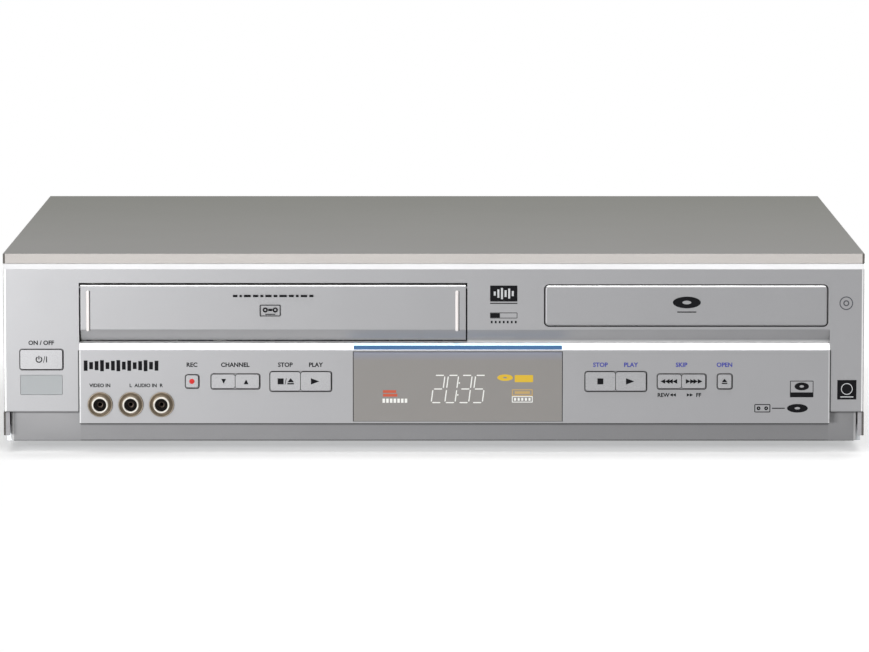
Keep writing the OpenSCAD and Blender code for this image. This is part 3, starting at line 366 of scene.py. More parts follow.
def circuitBoard(f, color, copper, node):  # lacquer over faint tracks, and what stands on it
    low, high = (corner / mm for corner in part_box(node))
    x, y, z = (f.at(axis) for axis in "XYZ")
    stands = y < high.y - boardTop if node == "front_board" else z > low.z + boardTop
    tracks = f.add("TexBrick", {"Vector": f.place(), "Scale": 150, "Mortar Size": 0.012,
                                "Mortar Smooth": 0.1, "Brick Width": 0.9, "Row Height": 0.34},
                   1, offset=0.37, squash=1.6, squash_frequency=3)
    pads = f.add("TexVoronoi", {"Vector": f.place(), "Scale": 260, "Randomness": 0.35})
    joint = (1 - f.steps(pads, 0.16, 0.22)) * (1 - stands)
    cloud = f.noise(45, 3, 0.6)
    shades = f.blend(tracks * 0.5, color, shade(color, 1.7))
    shades = f.blend(joint * 0.85, shades, copper)
    metal = joint * 0.8
    for (x0, x1, y0, y1), bitColor, bitMetal in boardBits[node]:
        bit = stands * between(x, low.x + x0, low.x + x1) * between(y, low.y + y0, low.y + y1)
        shades = f.blend(bit, shades, bitColor)
        metal = metal + bit * bitMetal
    shades = f.blend(f.steps(cloud, 0.4, 0.8) * 0.15, shades, shade(color, 0.6))
    raised = (tracks * 0.5 + joint) * (1 - stands)
    f.surface(shades, 0.42 - joint * 0.12, {"Metallic": metal}, (raised, 0.3, 0.00010))


def smokedWindow(f, color, rough, coat, paintedGlow=None):  # paintedGlow: a painted glow's colour, and heights it fades between
    cloud = f.noise(22, 2, 0.5)
    dust = f.steps(f.noise(2400, 2, 0.6), 0.62, 0.8)
    shades = f.blend(f.steps(cloud, 0.3, 0.7) * 0.06, color, shade(color, 0.86))
    shades = f.blend(dust * 0.06, shades, shade(color, 1.5))
    if paintedGlow:
        shades = f.blend(f.steps(f.at("Z"), paintedGlow[1], paintedGlow[2]), shades, paintedGlow[0])
    others = {"Specular IOR Level": 0.35, "Coat Weight": coat, "Coat Roughness": 0.12}
    f.surface(shades, rough + (cloud - 0.5) * 0.04, others, (cloud, 0.02, 0.0001))


def glowing(f, color, strength):
    flicker = f.steps(f.noise(500, 2, 0.5), 0.2, 0.8)
    light = f.blend(flicker * 0.15, color, shade(color, 0.85))
    f.surface(shade(color, 0.15), 0.45,
              {"Specular IOR Level": 0.2, "Emission Color": light, "Emission Strength": strength})


def printedInk(f, color):
    worn = f.steps(f.noise(1800, 3, 0.6), 0.3, 0.75)
    shades = f.blend(worn * 0.15, color, shade(color, 1.5))
    f.surface(shades, 0.55, {"Specular IOR Level": 0.08}, (worn, 0.1, 0.00003))


socketInsertR = 3.3  # mm
codeWhite, codeRed = tone(226, 226, 222), tone(186, 38, 34)
socketCodes = (tone(222, 186, 40), codeWhite, codeRed, codeWhite, codeRed)


def codedPlastic(f, node, colors):  # one colour for each column of sockets
    low, high = (corner.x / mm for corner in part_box(node))
    first = low + socketInsertR
    pitch = (high - low - 2 * socketInsertR) / (len(colors) - 1)
    x = f.at("X")
    color = colors[0]
    for column, after in enumerate(colors[1:], 1):
        color = f.blend(x > first + (column - 0.5) * pitch, color, after)
    cloud = f.steps(f.noise(220, 3, 0.5), 0.3, 0.7)
    color = f.blend(cloud * 0.12, color, grey(0.05))
    f.surface(color, 0.38 + cloud * 0.08, {"Specular IOR Level": 0.4}, (cloud, 0.05, 0.00004))


rearGrey = tone(150, 151, 152)
capLook = {**silverLook, "rough": 0.30}
skirtPaint = {**silverLook, "metal": 0.35, "rough": 0.45}
finishLooks = {  # for each finish: what paints it, and with what
    "silver": (silverPaint, silverLook, 1.0, panelMasks),
    "silverDoor": (silverPaint, silverLook, 0.97, flapMasks("cassette_door", 1.1, 1.1, 12)),
    "silverTray": (silverPaint, silverLook, 0.97, flapMasks("tray_front", 1.0, 0.9)),
    # the caps are the panel's silver painted 1.12 times lighter, as painted light
    "silverCap": (silverPaint, capLook, 1.12, capMasks(panelY / mm - capProud)),
    "silverPower": (silverPaint, capLook, 1.12, capMasks(faceY / mm - capProud)),
    # the door ribs, near white as a painted highlight
    "ribHighlightWhite": (mouldedPlastic, tone(252, 246, 244), 0.35),
    "skirt": (silverPaint, skirtPaint, 0.66, skirtMasks),
    "cover": (coverPaint, coverLook),
    # the window takes on the light bar's painted glow towards its top
    "window": (smokedWindow, tone(144, 141, 138), 0.28, 0.15, (tone(142, 146, 164), 46.2, 51.5)),
    "sensor": (smokedWindow, tone(172, 176, 178), 0.35, 0.1),
    "blue": (glowing, tone(60, 104, 150), 0.95),
    "ink": (printedInk, tone(16, 16, 19)),
    "violetInk": (printedInk, tone(70, 74, 160)),
    "paleInk": (printedInk, tone(206, 208, 210)),
    "greyInk": (printedInk, tone(84, 84, 90)),
    # the painted shadow round the buttons' slots
    "slot": (printedInk, tone(62, 60, 62)),
    "red": (printedInk, tone(216, 60, 58)),
    "socketMetal": (turnedMetal, tone(140, 130, 116), 0.3, 0.8),
    # the barrels' rims: bright plating, lightened further as a painted highlight
    "socketRimHighlight": (turnedMetal, tone(228, 224, 216), 0.4, 0.45),
    "socketDark": (mouldedPlastic, tone(16, 13, 12), 0.5, 1600, 0.15, 0.05),
    # the contacts, darkened as painted shade deep in the sockets
    "contact": (turnedMetal, tone(96, 84, 76), 0.35, 0.8),
    "shaft": (turnedMetal, tone(205, 206, 210), 0.16),
    "screw": (turnedMetal, tone(176, 176, 178), 0.28),
    "pan": (rolledSteel, tone(178, 181, 184), 0.34),
    "deckSteel": (rolledSteel, tone(190, 188, 182), 0.3),
    "drum": (turnedMetal, tone(214, 214, 217), 0.22),
    "rear": (coverPaint, {**coverLook, "front": rearGrey, "back": rearGrey}),
    "black": (mouldedPlastic, tone(44, 44, 46), 0.42),
    "tray": (mouldedPlastic, tone(58, 58, 61), 0.4, 2200, 0.2),
    "white": (mouldedPlastic, tone(228, 227, 218), 0.4),
    "part": (mouldedPlastic, tone(30, 30, 32), 0.38),
    "rubber": (rubberSkin, tone(30, 30, 31)),
    "foot": (rubberSkin, tone(44, 44, 46)),
    "green": (circuitBoard, tone(34, 92, 56), tone(190, 186, 170), "main_board"),
    "greenFront": (circuitBoard, tone(34, 92, 56), tone(190, 186, 170), "front_board"),
    "tan": (circuitBoard, tone(150, 118, 72), tone(192, 186, 168), "power_board"),
    "display": (smokedWindow, tone(26, 28, 30), 0.12, 0.5),
    "segment": (glowing, tone(240, 240, 236), 0.9),
    "lampRed": (glowing, tone(202, 92, 66), 0.85),
    "lampYellow": (glowing, tone(222, 184, 58), 0.85),
    "lampAmber": (glowing, tone(196, 166, 110), 0.85),
    "plugs": (codedPlastic, "rear_socket_inserts", socketCodes),
}
finishNodes = {  # the nodes that each finish covers; the button caps are left for silverCap
    "cover": "top_cover", "pan": "base_chassis tuner", "rear": "rear_panel", "silver": "front_bezel",
    "skirt": "base_skirt", "foot": "feet", "screw": "cover_screws tray_motor",
    "window": "display_window", "blue": "light_pipe", "sensor": "sensor_window",
    "socketMetal": "front_socket_shells rear_socket_shells", "socketDark": "front_socket_inserts",
    "greenFront": "front_board", "display": "display_module", "silverDoor": "cassette_door",
    "deckSteel": "deck_plate deck_side_frames cassette_basket pinch_arm clamp_bridge",
    "black": "basket_carriage supply_reel takeup_reel loader_frame turntable",
    "drum": "lower_drum upper_drum tape_heads", "shaft": "capstan supply_guide takeup_guide guide_rods",
    "rubber": "pinch_roller drive_belt", "tray": "disc_tray", "silverTray": "tray_front",
    "silverPower": "button_power", "white": "tray_gear motor_pulley feed_gear clamper",
    "part": "traverse_frame optical_pickup mains_inlet", "green": "main_board", "tan": "power_board",
    "plugs": "rear_socket_inserts",
}
nodeFinish = {node: finish for finish, names in finishNodes.items() for node in names.split()}
finishes = {}
for name, (paint, *values) in finishLooks.items():
    finish = Finish(name)
    paint(finish, *values)
    finishes[name] = finish.material
for name, node in nodes.items():
    node.data.materials.clear()
    node.data.materials.append(finishes[nodeFinish.get(name, "silverCap")])
print("finishes:", len(finishes))


# Camera, lights and stage

camera = {
    "place": (0.001807, -2.94989, 0.36036),
    "down": 6.1076,  # degrees below the horizon
    "left": 0.029,
    "lens": 231.54,  # mm, on a 36 mm wide sensor
}


def makeCamera(look):
    data = bpy.data.cameras.new("camera")
    data.sensor_fit = "HORIZONTAL"
    data.sensor_width = 36
    data.lens = look["lens"]
    data.clip_end = 60
    view = bpy.data.objects.new("camera", data)
    view.location = look["place"]
    view.rotation_euler = (math.radians(90 - look["down"]), 0, math.radians(look["left"]))
    bpy.context.collection.objects.link(view)
    bpy.context.scene.camera = view


lamps = {  # in metres and watts
    "overheadSoftbox": {"at": (0.0, -0.4, 1.4), "aim": (0.0, -0.05, 0.05), "size": (1.8, 0.8), "watts": 16},
    "rearFill": {"at": (0.5, 1.9, 0.7), "aim": (0.0, 0.17, 0.05), "size": (1.4, 0.7), "watts": 20},
    "leftFrontSoftbox": {"at": (-0.84, -2.2, 0.13), "aim": (-0.15, -0.18, 0.05), "size": (0.8, 0.28),
                         "watts": 24},
}


def makeLamp(name, look):
    data = bpy.data.lights.new(name, "AREA")
    data.shape = "RECTANGLE"
    data.size, data.size_y = look["size"]
    data.energy = look["watts"]
    lamp = bpy.data.objects.new(name, data)
    lamp.location = look["at"]
    lamp.visible_camera = False
    lamp.rotation_euler = (Vector(look["aim"]) - lamp.location).to_track_quat("-Z", "Y").to_euler()
    bpy.context.collection.objects.link(lamp)


room = {"ambient": 0.15, "backdrop": 1.0}


def seen(f):  # 1 where the camera, a mirror or a glass looks, 0 for what lights the part
    path = f.add("LightPath")
    looks = [Wire(f, path.socket.node.outputs[name]) for name in
             ("Is Camera Ray", "Is Glossy Ray", "Is Transmission Ray")]
    return f.steps(looks[0] + looks[1] + looks[2], 0, 1)


class Sky(Finish):  # the same node builder over a world's nodes
    def __init__(self, name):
        self.world = bpy.data.worlds.new(name)
        self.world.use_nodes = True
        self.tree = self.world.node_tree
        self.tree.nodes.clear()


def makeWorld(look):  # white where it is seen or mirrored, dimmer as a light
    f = Sky("room")
    strength = look["ambient"] + seen(f) * (look["backdrop"] - look["ambient"])
    light = f.add("Background", {"Color": (1, 1, 1, 1), "Strength": strength})
    f.add("OutputWorld", {"Surface": light})
    bpy.context.scene.world = f.world


floorLook = {  # in mm: bands of the floor's glow, measured forward from the skirt's face
    "half": 850, "shade": 0.80, "glow": 0.35,
    "ends": (-10, 20),  # they fade out past the skirt's ends
    "creep": (-22, 1, 1, 8, 0.54),  # light that creeps under the skirt: start, full, fade, end, level
    "rim": (7, 16, 20, 40, 0.19),  # the soft shadow ahead of it
}


def makeFloor(look):  # white paper, lifted a little where it is seen
    f = Finish("floorPaper")
    skirtLow, skirtHigh = (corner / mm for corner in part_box("base_skirt"))
    ahead = skirtLow.y - f.at("Y")
    along = 1 - f.steps(abs(f.at("X")) - skirtHigh.x, *look["ends"])
    glow = grey(look["glow"])
    for start, full, fade, end, level in (look["creep"], look["rim"]):
        part = f.steps(ahead, start, full) * (1 - f.steps(ahead, fade, end)) * along
        glow = f.blend(part, glow, grey(level))
    cloud = f.noise(3, 3, 0.5)
    white = f.blend(cloud * 0.03, grey(look["shade"]), grey(look["shade"] * 0.94))
    f.surface(white, 0.9, {"Specular IOR Level": 0.1, "Emission Color": glow, "Emission Strength": seen(f)})
    mesh = bpy.data.meshes.new("floor")
    bm = bmesh.new()
    bmesh.ops.create_grid(bm, x_segments=1, y_segments=1, size=look["half"] * mm)
    bm.to_mesh(mesh)
    bm.free()
    floor = bpy.data.objects.new("floor", mesh)
    mesh.materials.append(f.material)
    bpy.context.collection.objects.link(floor)


makeCamera(camera)
for name, look in lamps.items():
    makeLamp(name, look)
makeWorld(room)
makeFloor(floorLook)
bpy.context.scene.view_settings.view_transform = "Standard"
print("camera, lights and floor")


# Pieces

bodyOf = {node: body for body, names in frame["record"]["behaviour"]["bodies"].items() for node in names}
slotOf = {part["node"]: part["material_slot"] for part in frame["record"]["subparts"]}


def place(mesh, name, finish, body, slot, smooth=True):
    if smooth:
        for face in mesh.polygons:
            face.use_smooth = True
    piece = bpy.data.objects.new(name, mesh)
    bpy.context.collection.objects.link(piece)
    if not mesh.materials:
        mesh.materials.append(finishes[finish])
    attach(piece, body)
    return piece


def roundEdges(piece, width, segments):
    bevel = piece.modifiers.new("bevel", "BEVEL")
    bevel.width = width
    bevel.segments = segments
    bevel.limit_method = "ANGLE"
    bevel.angle_limit = math.radians(30)
    bevel.use_clamp_overlap = True
    flats = piece.modifiers.new("flats", "WEIGHTED_NORMAL")
    flats.weight = 100
    flats.keep_sharp = False


def soften(node, width, segments):  # the node's own shape with rounded edges
    bm = bmesh.new()
    bm.from_mesh(nodes[node].data)
    bmesh.ops.remove_doubles(bm, verts=bm.verts, dist=0.002 * mm)
    bmesh.ops.dissolve_limit(bm, angle_limit=math.radians(0.5), verts=bm.verts, edges=bm.edges)
    mesh = bpy.data.meshes.new(node + "_soft")
    bm.to_mesh(mesh)
    bm.free()
    piece = place(mesh, node + "_soft", nodeFinish.get(node, "silverCap"), bodyOf[node], slotOf[node])
    roundEdges(piece, width, segments)
    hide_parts(node)


letterLook = {  # printed words
    "capital": 0.7,  # height of a capital over the typeface's size
    "bold": 0.045,  # strokes grow by this share of the height
    "wide": 1.02,
    "thick": 0.04,  # mm
}


weldReach = 40  # mm: round a lathed shape's centre, where its seam is closed


class Build:  # gathers one piece's mesh, in millimetres
    def __init__(self):
        self.bm = bmesh.new()

    def outline(self, points, y0, y1):  # an outline of (x, z) points carried from y0 back to y1
        face = self.bm.faces.new([self.bm.verts.new((x, y0, z)) for x, z in points])
        made = bmesh.ops.extrude_face_region(self.bm, geom=[face])
        back = [v for v in made["geom"] if isinstance(v, bmesh.types.BMVert)]
        bmesh.ops.translate(self.bm, verts=back, vec=(0, y1 - y0, 0))

    def box(self, low, high):
        (x0, y0, z0), (x1, y1, z1) = low, high
        self.outline([(x0, z0), (x1, z0), (x1, z1), (x0, z1)], y0, y1)

    def lathe(self, profile, centre, axis, steps, closed=True):  # (radius, along) points round an axis
        along = Vector([float(axis == name) for name in "XYZ"])
        out = Vector((0, 1, 0)) if axis == "X" else Vector((1, 0, 0))
        ring = [self.bm.verts.new(Vector(centre) + out * r + along * a) for r, a in profile]
        ends = ring[1:] + ring[:1] if closed else ring[1:]
        lines = [self.bm.edges.new(pair) for pair in zip(ring, ends)]
        bmesh.ops.spin(self.bm, geom=ring + lines, cent=centre, axis=along, angle=2 * math.pi, steps=steps,
                       use_merge=True)
        near = [v for v in self.bm.verts if (v.co - Vector(centre)).length < weldReach]
        bmesh.ops.remove_doubles(self.bm, verts=near, dist=0.0005)

    def letters(self, text, height, x, y, z, turn=Matrix.Identity(4)):
        look = letterLook
        curve = bpy.data.curves.new("letters", "FONT")
        curve.body = text
        curve.size = height / look["capital"]
        curve.offset = look["bold"] * height
        curve.align_x = "CENTER"
        curve.extrude = look["thick"] / 2
        curve.resolution_u = 3
        words = bpy.data.objects.new("letters", curve)
        mesh = bpy.data.meshes.new_from_object(words)
        stand = Matrix.Rotation(math.radians(90), 4, "X") @ Matrix.Diagonal((look["wide"], 1, 1, 1))
        mesh.transform(Matrix.Translation((x, y, z - height / 2)) @ turn @ stand)
        self.bm.from_mesh(mesh)
        bpy.data.objects.remove(words)
        bpy.data.curves.remove(curve)
        bpy.data.meshes.remove(mesh)

    def piece(self, name, finish, body, slot, smooth=False, replaced=()):
        bmesh.ops.recalc_face_normals(self.bm, faces=self.bm.faces)
        mesh = bpy.data.meshes.new(name)
        bmesh.ops.scale(self.bm, vec=(mm, mm, mm), verts=self.bm.verts)
        self.bm.to_mesh(mesh)
        self.bm.free()
        made = place(mesh, name, finish, body, slot, smooth)
        if replaced:
            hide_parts(*replaced)
        return made


def arc(x, z, radius, start, end, steps):  # points from one angle to another, in degrees
    turns = [math.radians(start + (end - start) * i / steps) for i in range(steps + 1)]
    return [(x + radius * math.cos(t), z + radius * math.sin(t)) for t in turns]


def roundedBox(x, z, width, height, radius):
    corners = [(1, 1, 0), (-1, 1, 90), (-1, -1, 180), (1, -1, 270)]
    return [point for sx, sz, start in corners
            for point in arc(x + sx * (width / 2 - radius), z + sz * (height / 2 - radius),
                             radius, start, start + 90, 5)]


# Rounded edges on the parts, in mm: width, segments

softEdges = {
    "front_bezel": (0.22, 2), "top_cover": (0.30, 2), "cassette_door": (1.0, 4), "tray_front": (0.9, 4),
    "base_skirt": (0.40, 2), "light_pipe": (0.15, 2), "display_window": (0.12, 2),
    "sensor_window": (0.15, 2), "rear_panel": (0.12, 2), "disc_tray": (0.35, 2),
    "mains_inlet": (0.40, 2), "feet": (0.80, 3), "clamper": (0.40, 2), "cassette_basket": (0.30, 2),
    "basket_carriage": (0.30, 2), "turntable": (0.30, 2), "optical_pickup": (0.40, 2),
    "clamp_bridge": (0.30, 2), "supply_reel": (0.30, 2), "takeup_reel": (0.30, 2),
}
for node in nodes:
    if node.startswith("button_"):
        softEdges[node] = (0.45, 3)
for node, (width, segments) in softEdges.items():
    soften(node, width * mm, segments)
print("softened parts:", len(softEdges))


def span(node):  # a node's lowest and highest corners in mm
    low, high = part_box(node)
    return low / mm, high / mm


def front(node):  # the middle of a node's front in mm
    low, high = span(node)
    return (low.x + high.x) / 2, low.y, (low.z + high.z) / 2


faceAt = panelY / mm  # lower panel's face
upperAt = faceY / mm  # upper face
ink, sunk = 0.03, 0.1  # how far a printed mark stands out and reaches in
overInk = 0.04  # how far a mark stands out over another one


# Front sockets: a dished flange, a plated barrel whose rim is bright plating lightened further as a painted
# highlight, and the contact deep inside, darkened as painted shade

socketLook = {  # mm
    "barrel": (3.2, 4.05),  # inner and outer radius
    "flange": 6.3,  # outer radius
    "proud": 3.5,  # how far the barrel stands out of the panel
    "tail": 8.0,
}


def makeSockets(look):
    low, high = span("front_socket_shells")
    (inner, outer), edge, out, tail = look["barrel"], look["flange"], -look["proud"], look["tail"]
    pitch = (high.x - low.x - 2 * edge) / 2
    shell = [(inner + 0.35, tail), (inner + 0.35, out + 0.9), (outer - 0.1, out + 0.9),
             (outer - 0.1, -0.12), (outer + 0.25, -0.14), (outer + 0.8, -0.28), (outer + 1.3, -0.62),
             (edge - 0.5, -1.0), (edge - 0.3, -1.06), (edge - 0.08, -0.92), (edge, -0.6), (edge, 0),
             (outer, 0), (outer, tail)]
    rim = [(inner, out + 1.6), (inner, out + 0.35), (inner + 0.12, out + 0.1), (inner + 0.35, out),
           (outer - 0.4, out), (outer - 0.12, out + 0.12), (outer, out + 0.4), (outer, out + 1.3),
           (outer - 0.3, out + 1.6)]
    contact = [(0.95, 5), (0.95, 0.4), (1.1, 0.15), (1.6, 0.15), (1.75, 0.4), (1.75, 5)]
    shells, rims, contacts = Build(), Build(), Build()
    for i in range(3):
        centre = (low.x + edge + i * pitch, faceAt, front("front_socket_shells")[2])
        shells.lathe(shell, centre, "Y", 64)
        rims.lathe(rim, centre, "Y", 64)
        contacts.lathe(contact, centre, "Y", 32)
    shells.piece("socket_shells", "socketMetal", "case", "socket_metal", True, ["front_socket_shells"])
    rims.piece("socket_rims", "socketRimHighlight", "case", "socket_metal", True)
    contacts.piece("socket_contacts", "contact", "case", "socket_metal", True)


makeSockets(socketLook)


# Marks: each is drawn round (x, z) on the face at y

def printed(build, points, y):
    build.outline(points, y - ink, y + sunk)


def square(build, x, y, z, width, height):
    build.box((x - width / 2, y - ink, z - height / 2), (x + width / 2, y + sunk, z + height / 2))


def squares(build, x, y, z, pitch, width, heights):
    for i, height in enumerate(heights):
        square(build, x + pitch * i, y, z, width, height)


def block(build, x, y, z, width, height, radius):  # with rounded corners
    printed(build, roundedBox(x, z, width, height, radius), y)


def hollow(outer, inner):  # the outline of what lies between two outlines
    return outer + outer[:1] + inner[:1] + inner[:0:-1] + inner[:1]


def rim(build, x, y, z, width, height, radius, line):
    inner = roundedBox(x, z, width - 2 * line, height - 2 * line, max(radius - line, 0.05))
    printed(build, hollow(roundedBox(x, z, width, height, radius), inner), y)


def ring(build, x, y, z, outer, inner, flat=1.0):  # round or flattened
    printed(build, [(px, z + (pz - z) * flat) for px, pz in
                    arc(x, z, outer, 90, 449.9, 30) + arc(x, z, inner, 449.9, 90, 24)], y)


def arrow(build, x, y, z, length, breadth, turn):  # a triangle that points at turn degrees
    c, s = math.cos(math.radians(turn)), math.sin(math.radians(turn))
    corners = ((length / 2, 0), (-length / 2, breadth / 2), (-length / 2, -breadth / 2))
    printed(build, [(x + a * c - b * s, z + a * s + b * c) for a, b in corners], y)


def double(build, x, y, z, size, turn):  # two arrows in a row
    for side in (-1, 1):
        arrow(build, x + side * size * 0.36, y, z, size * 0.78, size * 0.8, turn)


def slash(build, x, y, z, height):
    low, high = z - height / 2, z + height / 2
    printed(build, [(x - 0.5, low), (x - 0.15, low), (x + 0.5, high), (x + 0.15, high)], y)


def eject(build, x, y, z, size):  # a triangle over a bar
    half, foot = size / 2, z - size * 0.14
    printed(build, [(x - half, foot), (x + half, foot), (x, z + half)], y)
    square(build, x, y, z - size * 0.36, size, size * 0.2)


def power(build, x, y, z, size):  # a broken ring with a bar in the gap
    printed(build, arc(x, z, size / 2, 120, 420, 20) + arc(x, z, size / 2 - 0.55, 420, 120, 20), y)
    build.box((x - 0.25, y - ink, z), (x + 0.25, y + sunk, z + size / 2 + 0.15))


def draw(build, x, y, z, marks):  # marks: what, how far right and up in mm, and its sizes
    for mark, right, up, *sizes in marks:
        mark(build, x + right, y, z + up, *sizes)


# Door ribs, white as a painted highlight, each with a painted shadow line at its right

ribLook = {  # mm
    "left": 7.4,  # from the door's left end to the left rib's middle
    "right": 8.2,
    "ends": (4.8, 25.2),  # over the door's lower edge
    "width": 1.6,
    "proud": 0.85,
    "edge": 0.45,  # rounding
    # width of the painted shadow line beside each rib
    "line": 0.35,
}


def makeDoorRibs(look):
    low, high = span("cassette_door")
    z0, z1 = (low.z + end for end in look["ends"])
    z, length, width = (z0 + z1) / 2, z1 - z0, look["width"]
    ribs, lines = Build(), Build()
    for x in (low.x + look["left"], high.x - look["right"]):
        ribs.outline(roundedBox(x, z, width, length, width * 0.45), upperAt - look["proud"], upperAt + 0.2)
        # the painted shadow at the rib's right
        square(lines, x + width / 2 + 0.2, upperAt, z, look["line"], length - 0.6)
    piece = ribs.piece("door_ribs", "ribHighlightWhite", "cassette_door", "silver_plastic", True)
    roundEdges(piece, look["edge"] * mm, 3)
    lines.piece("door_rib_shadow_lines", "ink", "cassette_door", "legend_ink")


makeDoorRibs(ribLook)


# Signs on the buttons

capMarks = {  # round the cap's middle
    "power": ((power, -1.1, 0, 3.4), (slash, 1.5, 0, 3.2), (square, 2.7, 0, 0.5, 3.0)),
    "channel_down": ((arrow, 0.25, 0, 2.5, 2.4, -90),),
    "channel_up": ((arrow, -0.55, -0.2, 2.5, 2.4, 90),),
    "tape_stop": ((square, -2.3, 0, 3.0, 3.0), (slash, 0.2, 0, 3.0), (eject, 2.7, 0, 3.3)),
    "tape_play": ((arrow, -0.3, 0, 4.2, 3.2, 0),),
    "disc_stop": ((square, 0, 0, 3.0, 3.0),),
    "disc_play": ((arrow, -0.3, 0, 4.2, 3.2, 0),),
    "skip_back": ((double, 1.6, 0, 3.0, 180), (double, -2.2, 0, 3.0, 180), (square, -0.3, 0, 0.4, 2.2)),
    "skip_forward": ((double, -1.6, 0, 3.0, 0), (double, 2.2, 0, 3.0, 0), (square, 0.3, 0, 0.4, 2.2)),
    "open": ((eject, 0, 0, 2.8),),
}
recordDot = [(0, 0.1), (1.35, 0.1), (1.25, -0.12), (0.9, -0.22), (0, -0.28)]


def makeCapMarks(caps, dot):
    for name, marks in caps.items():
        node = "button_" + name
        build = Build()
        draw(build, *front(node), marks)
        build.piece(node + "_mark", "ink", node, "legend_ink")
    build = Build()
    build.lathe(dot, front("button_record"), "Y", 32, False)
    build.piece("button_record_dot", "red", "button_record", "rec_red", True)


makeCapMarks(capMarks, recordDot)


# Words by the buttons and sockets

labelLook = {  # mm
    "height": 2.1,
    "rise": 8.3,  # from a button's middle up to its word
    "socketHeight": 1.7,
    "socketRise": 9.6,
    "shuttleHeight": 1.9,  # REW and FF
    "shuttleDrop": 6.9,  # from the skip buttons' middle down to them
    "shuttle": (-9.0, 8.6),  # how far right of it they stand
    "arrows": (4.3, 2.1),  # how far from it their arrows stand, and their size
    "audio": 7.7,  # from the right socket back to the middle of its pair
}


def over(*row):  # the middle of a button or of a row of them
    low, high = span("button_" + row[0])
    last = span("button_" + row[-1])[1]
    return (low.x + last.x) / 2, (low.z + high.z) / 2


def makeLabels(look):
    dark, violet = Build(), Build()
    words = ((dark, "REC", "record"), (dark, "CHANNEL", "channel_down", "channel_up"),
             (dark, "STOP", "tape_stop"), (dark, "PLAY", "tape_play"), (violet, "STOP", "disc_stop"),
             (violet, "PLAY", "disc_play"), (violet, "SKIP", "skip_back", "skip_forward"),
             (violet, "OPEN", "open"), (dark, "ON / OFF", "power"))
    for build, word, *row in words:
        x, z = over(*row)
        y = (upperAt if "power" in row else faceAt) - ink / 2
        build.letters(word, look["height"], x, y, z + look["rise"])
    y = faceAt - ink / 2
    low, high = span("front_socket_shells")
    z = front("front_socket_shells")[2] + look["socketRise"]
    edge = socketLook["flange"]
    dark.letters("VIDEO IN", look["socketHeight"], low.x + edge, y, z)
    dark.letters("L  AUDIO IN  R", look["socketHeight"], high.x - edge - look["audio"], y, z)
    x, z = over("skip_back", "skip_forward")
    z -= look["shuttleDrop"]
    beside, size = look["arrows"]
    for side, turn in ((-1, 180), (1, 0)):
        double(dark, x + side * beside, faceAt, z, size, turn)
    for word, right in zip(("REW", "FF"), look["shuttle"]):
        dark.letters(word, look["shuttleHeight"], x + right, y, z)
    dark.piece("panel_words", "ink", "case", "legend_ink")
    violet.piece("disc_words", "violetInk", "case", "legend_ink")


makeLabels(labelLook)


# The painted shadow round the slot of each button or row of buttons

slotShadowLook = {  # mm
    "gap": 0.3,
    "flange": 0.8,
    "line": 0.36,
    "shade": 0.14,  # how far the painted shadow shifts right and down
    "radius": 1.0,
}
buttonRows = [("power",), ("record",), ("channel_down", "channel_up"), ("tape_stop", "tape_play"),
              ("disc_stop", "disc_play"), ("skip_back", "skip_forward"), ("open",)]


def makeButtonSlotShadows(look):
    slotShadows = Build()
    for row in buttonRows:
        low, high = span("button_" + row[0])[0], span("button_" + row[-1])[1]
        x, z = (low.x + high.x) / 2, (low.z + high.z) / 2
        width = high.x - low.x + 2 * look["gap"]
        height = high.z - low.z + 2 * (look["gap"] - look["flange"])
        inner = roundedBox(x, z, width, height, look["radius"])
        outer = roundedBox(x + look["shade"], z - look["shade"], width + 2 * look["line"],
                           height + 2 * look["line"], look["radius"] + look["line"])
        printed(slotShadows, hollow(outer, inner), upperAt if "power" in row else faceAt)
    slotShadows.piece("button_slot_shadows", "slot", "case", "legend_ink")


makeButtonSlotShadows(slotShadowLook)


# Plain signs where the front carries its badges: marks round a place on the face

doorSign = {
    "dashes": (2.2, 1.1, 3.4, 2.6, 1.4, 3.0, 1.8, 3.6, 2.4, 1.3, 3.2, 2.0),  # widths in mm
    "dash": 1.1,  # their height and the gap between them
    "rise": 22.5,  # from the door's lower edge
    "cassette": ((rim, -1.5, 15.2, 10.4, 5.8, 0.6, 0.4), (ring, -4.0, 15.5, 1.25, 0.6),
                 (ring, 1.0, 15.5, 1.25, 0.6), (square, -1.5, 15.5, 1.9, 1.1),
                 (square, -1.5, 13.3, 4.8, 0.4)),
}
traySign = ((ring, 0.3, 1.6, 7.0, 2.2, 0.42), (square, 0.3, -3.2, 9.5, 0.55))  # a disc seen at a slant
panelSigns = {
    "sound": ((square, -2.7, -4.1, 13.6, 8.0), (square, -2.7, -9.0, 13.6, 0.5),
              (rim, -2.7, -15.1, 13.6, 2.9, 0.3, 0.3), (square, -6.9, -15.1, 4.6, 2.2),
              (squares, -8.7, -18.4, 2.0, 0.9, (1.2,) * 7)),
    "levels": ((squares, -7.2, -4.1, 1.8, 1.0, (2.0, 4.2, 5.6, 3.4, 5.0, 2.6)),),
    "disc": ((rim, -30.9, -3.9, 11.7, 8.3, 0.3, 0.35), (square, -30.9, -6.7, 11.1, 2.2),
             (ring, -30.9, -2.6, 3.6, 1.1, 0.55)),
    "end": ((square, -8.3, -4.4, 9.6, 9.8),),
    "endMarks": ((ring, -8.3, -4.0, 2.9, 2.55), (square, -8.3, -8.0, 6.5, 0.45)),
    "rings": ((ring, -8.9, 1.2, 3.4, 2.9), (ring, -8.9, 1.2, 1.5, 0.9)),
    "bars": ((squares, -0.8, 13.2, 2.72, 1.9,
              (5.2, 3.6, 4.6, 5.6, 3.4, 4.8, 5.6, 4.0, 5.2, 3.4, 4.6, 5.6, 3.8, 5.0)),),
    "line": ((rim, -50.5, -13.6, 8.0, 4.2, 0.5, 0.45), (ring, -52.4, -13.6, 0.95, 0.3),
             (ring, -48.6, -13.6, 0.95, 0.3), (square, -42.5, -13.6, 6.4, 0.5),
             (ring, -33.0, -13.6, 5.2, 1.4, 0.42)),
}


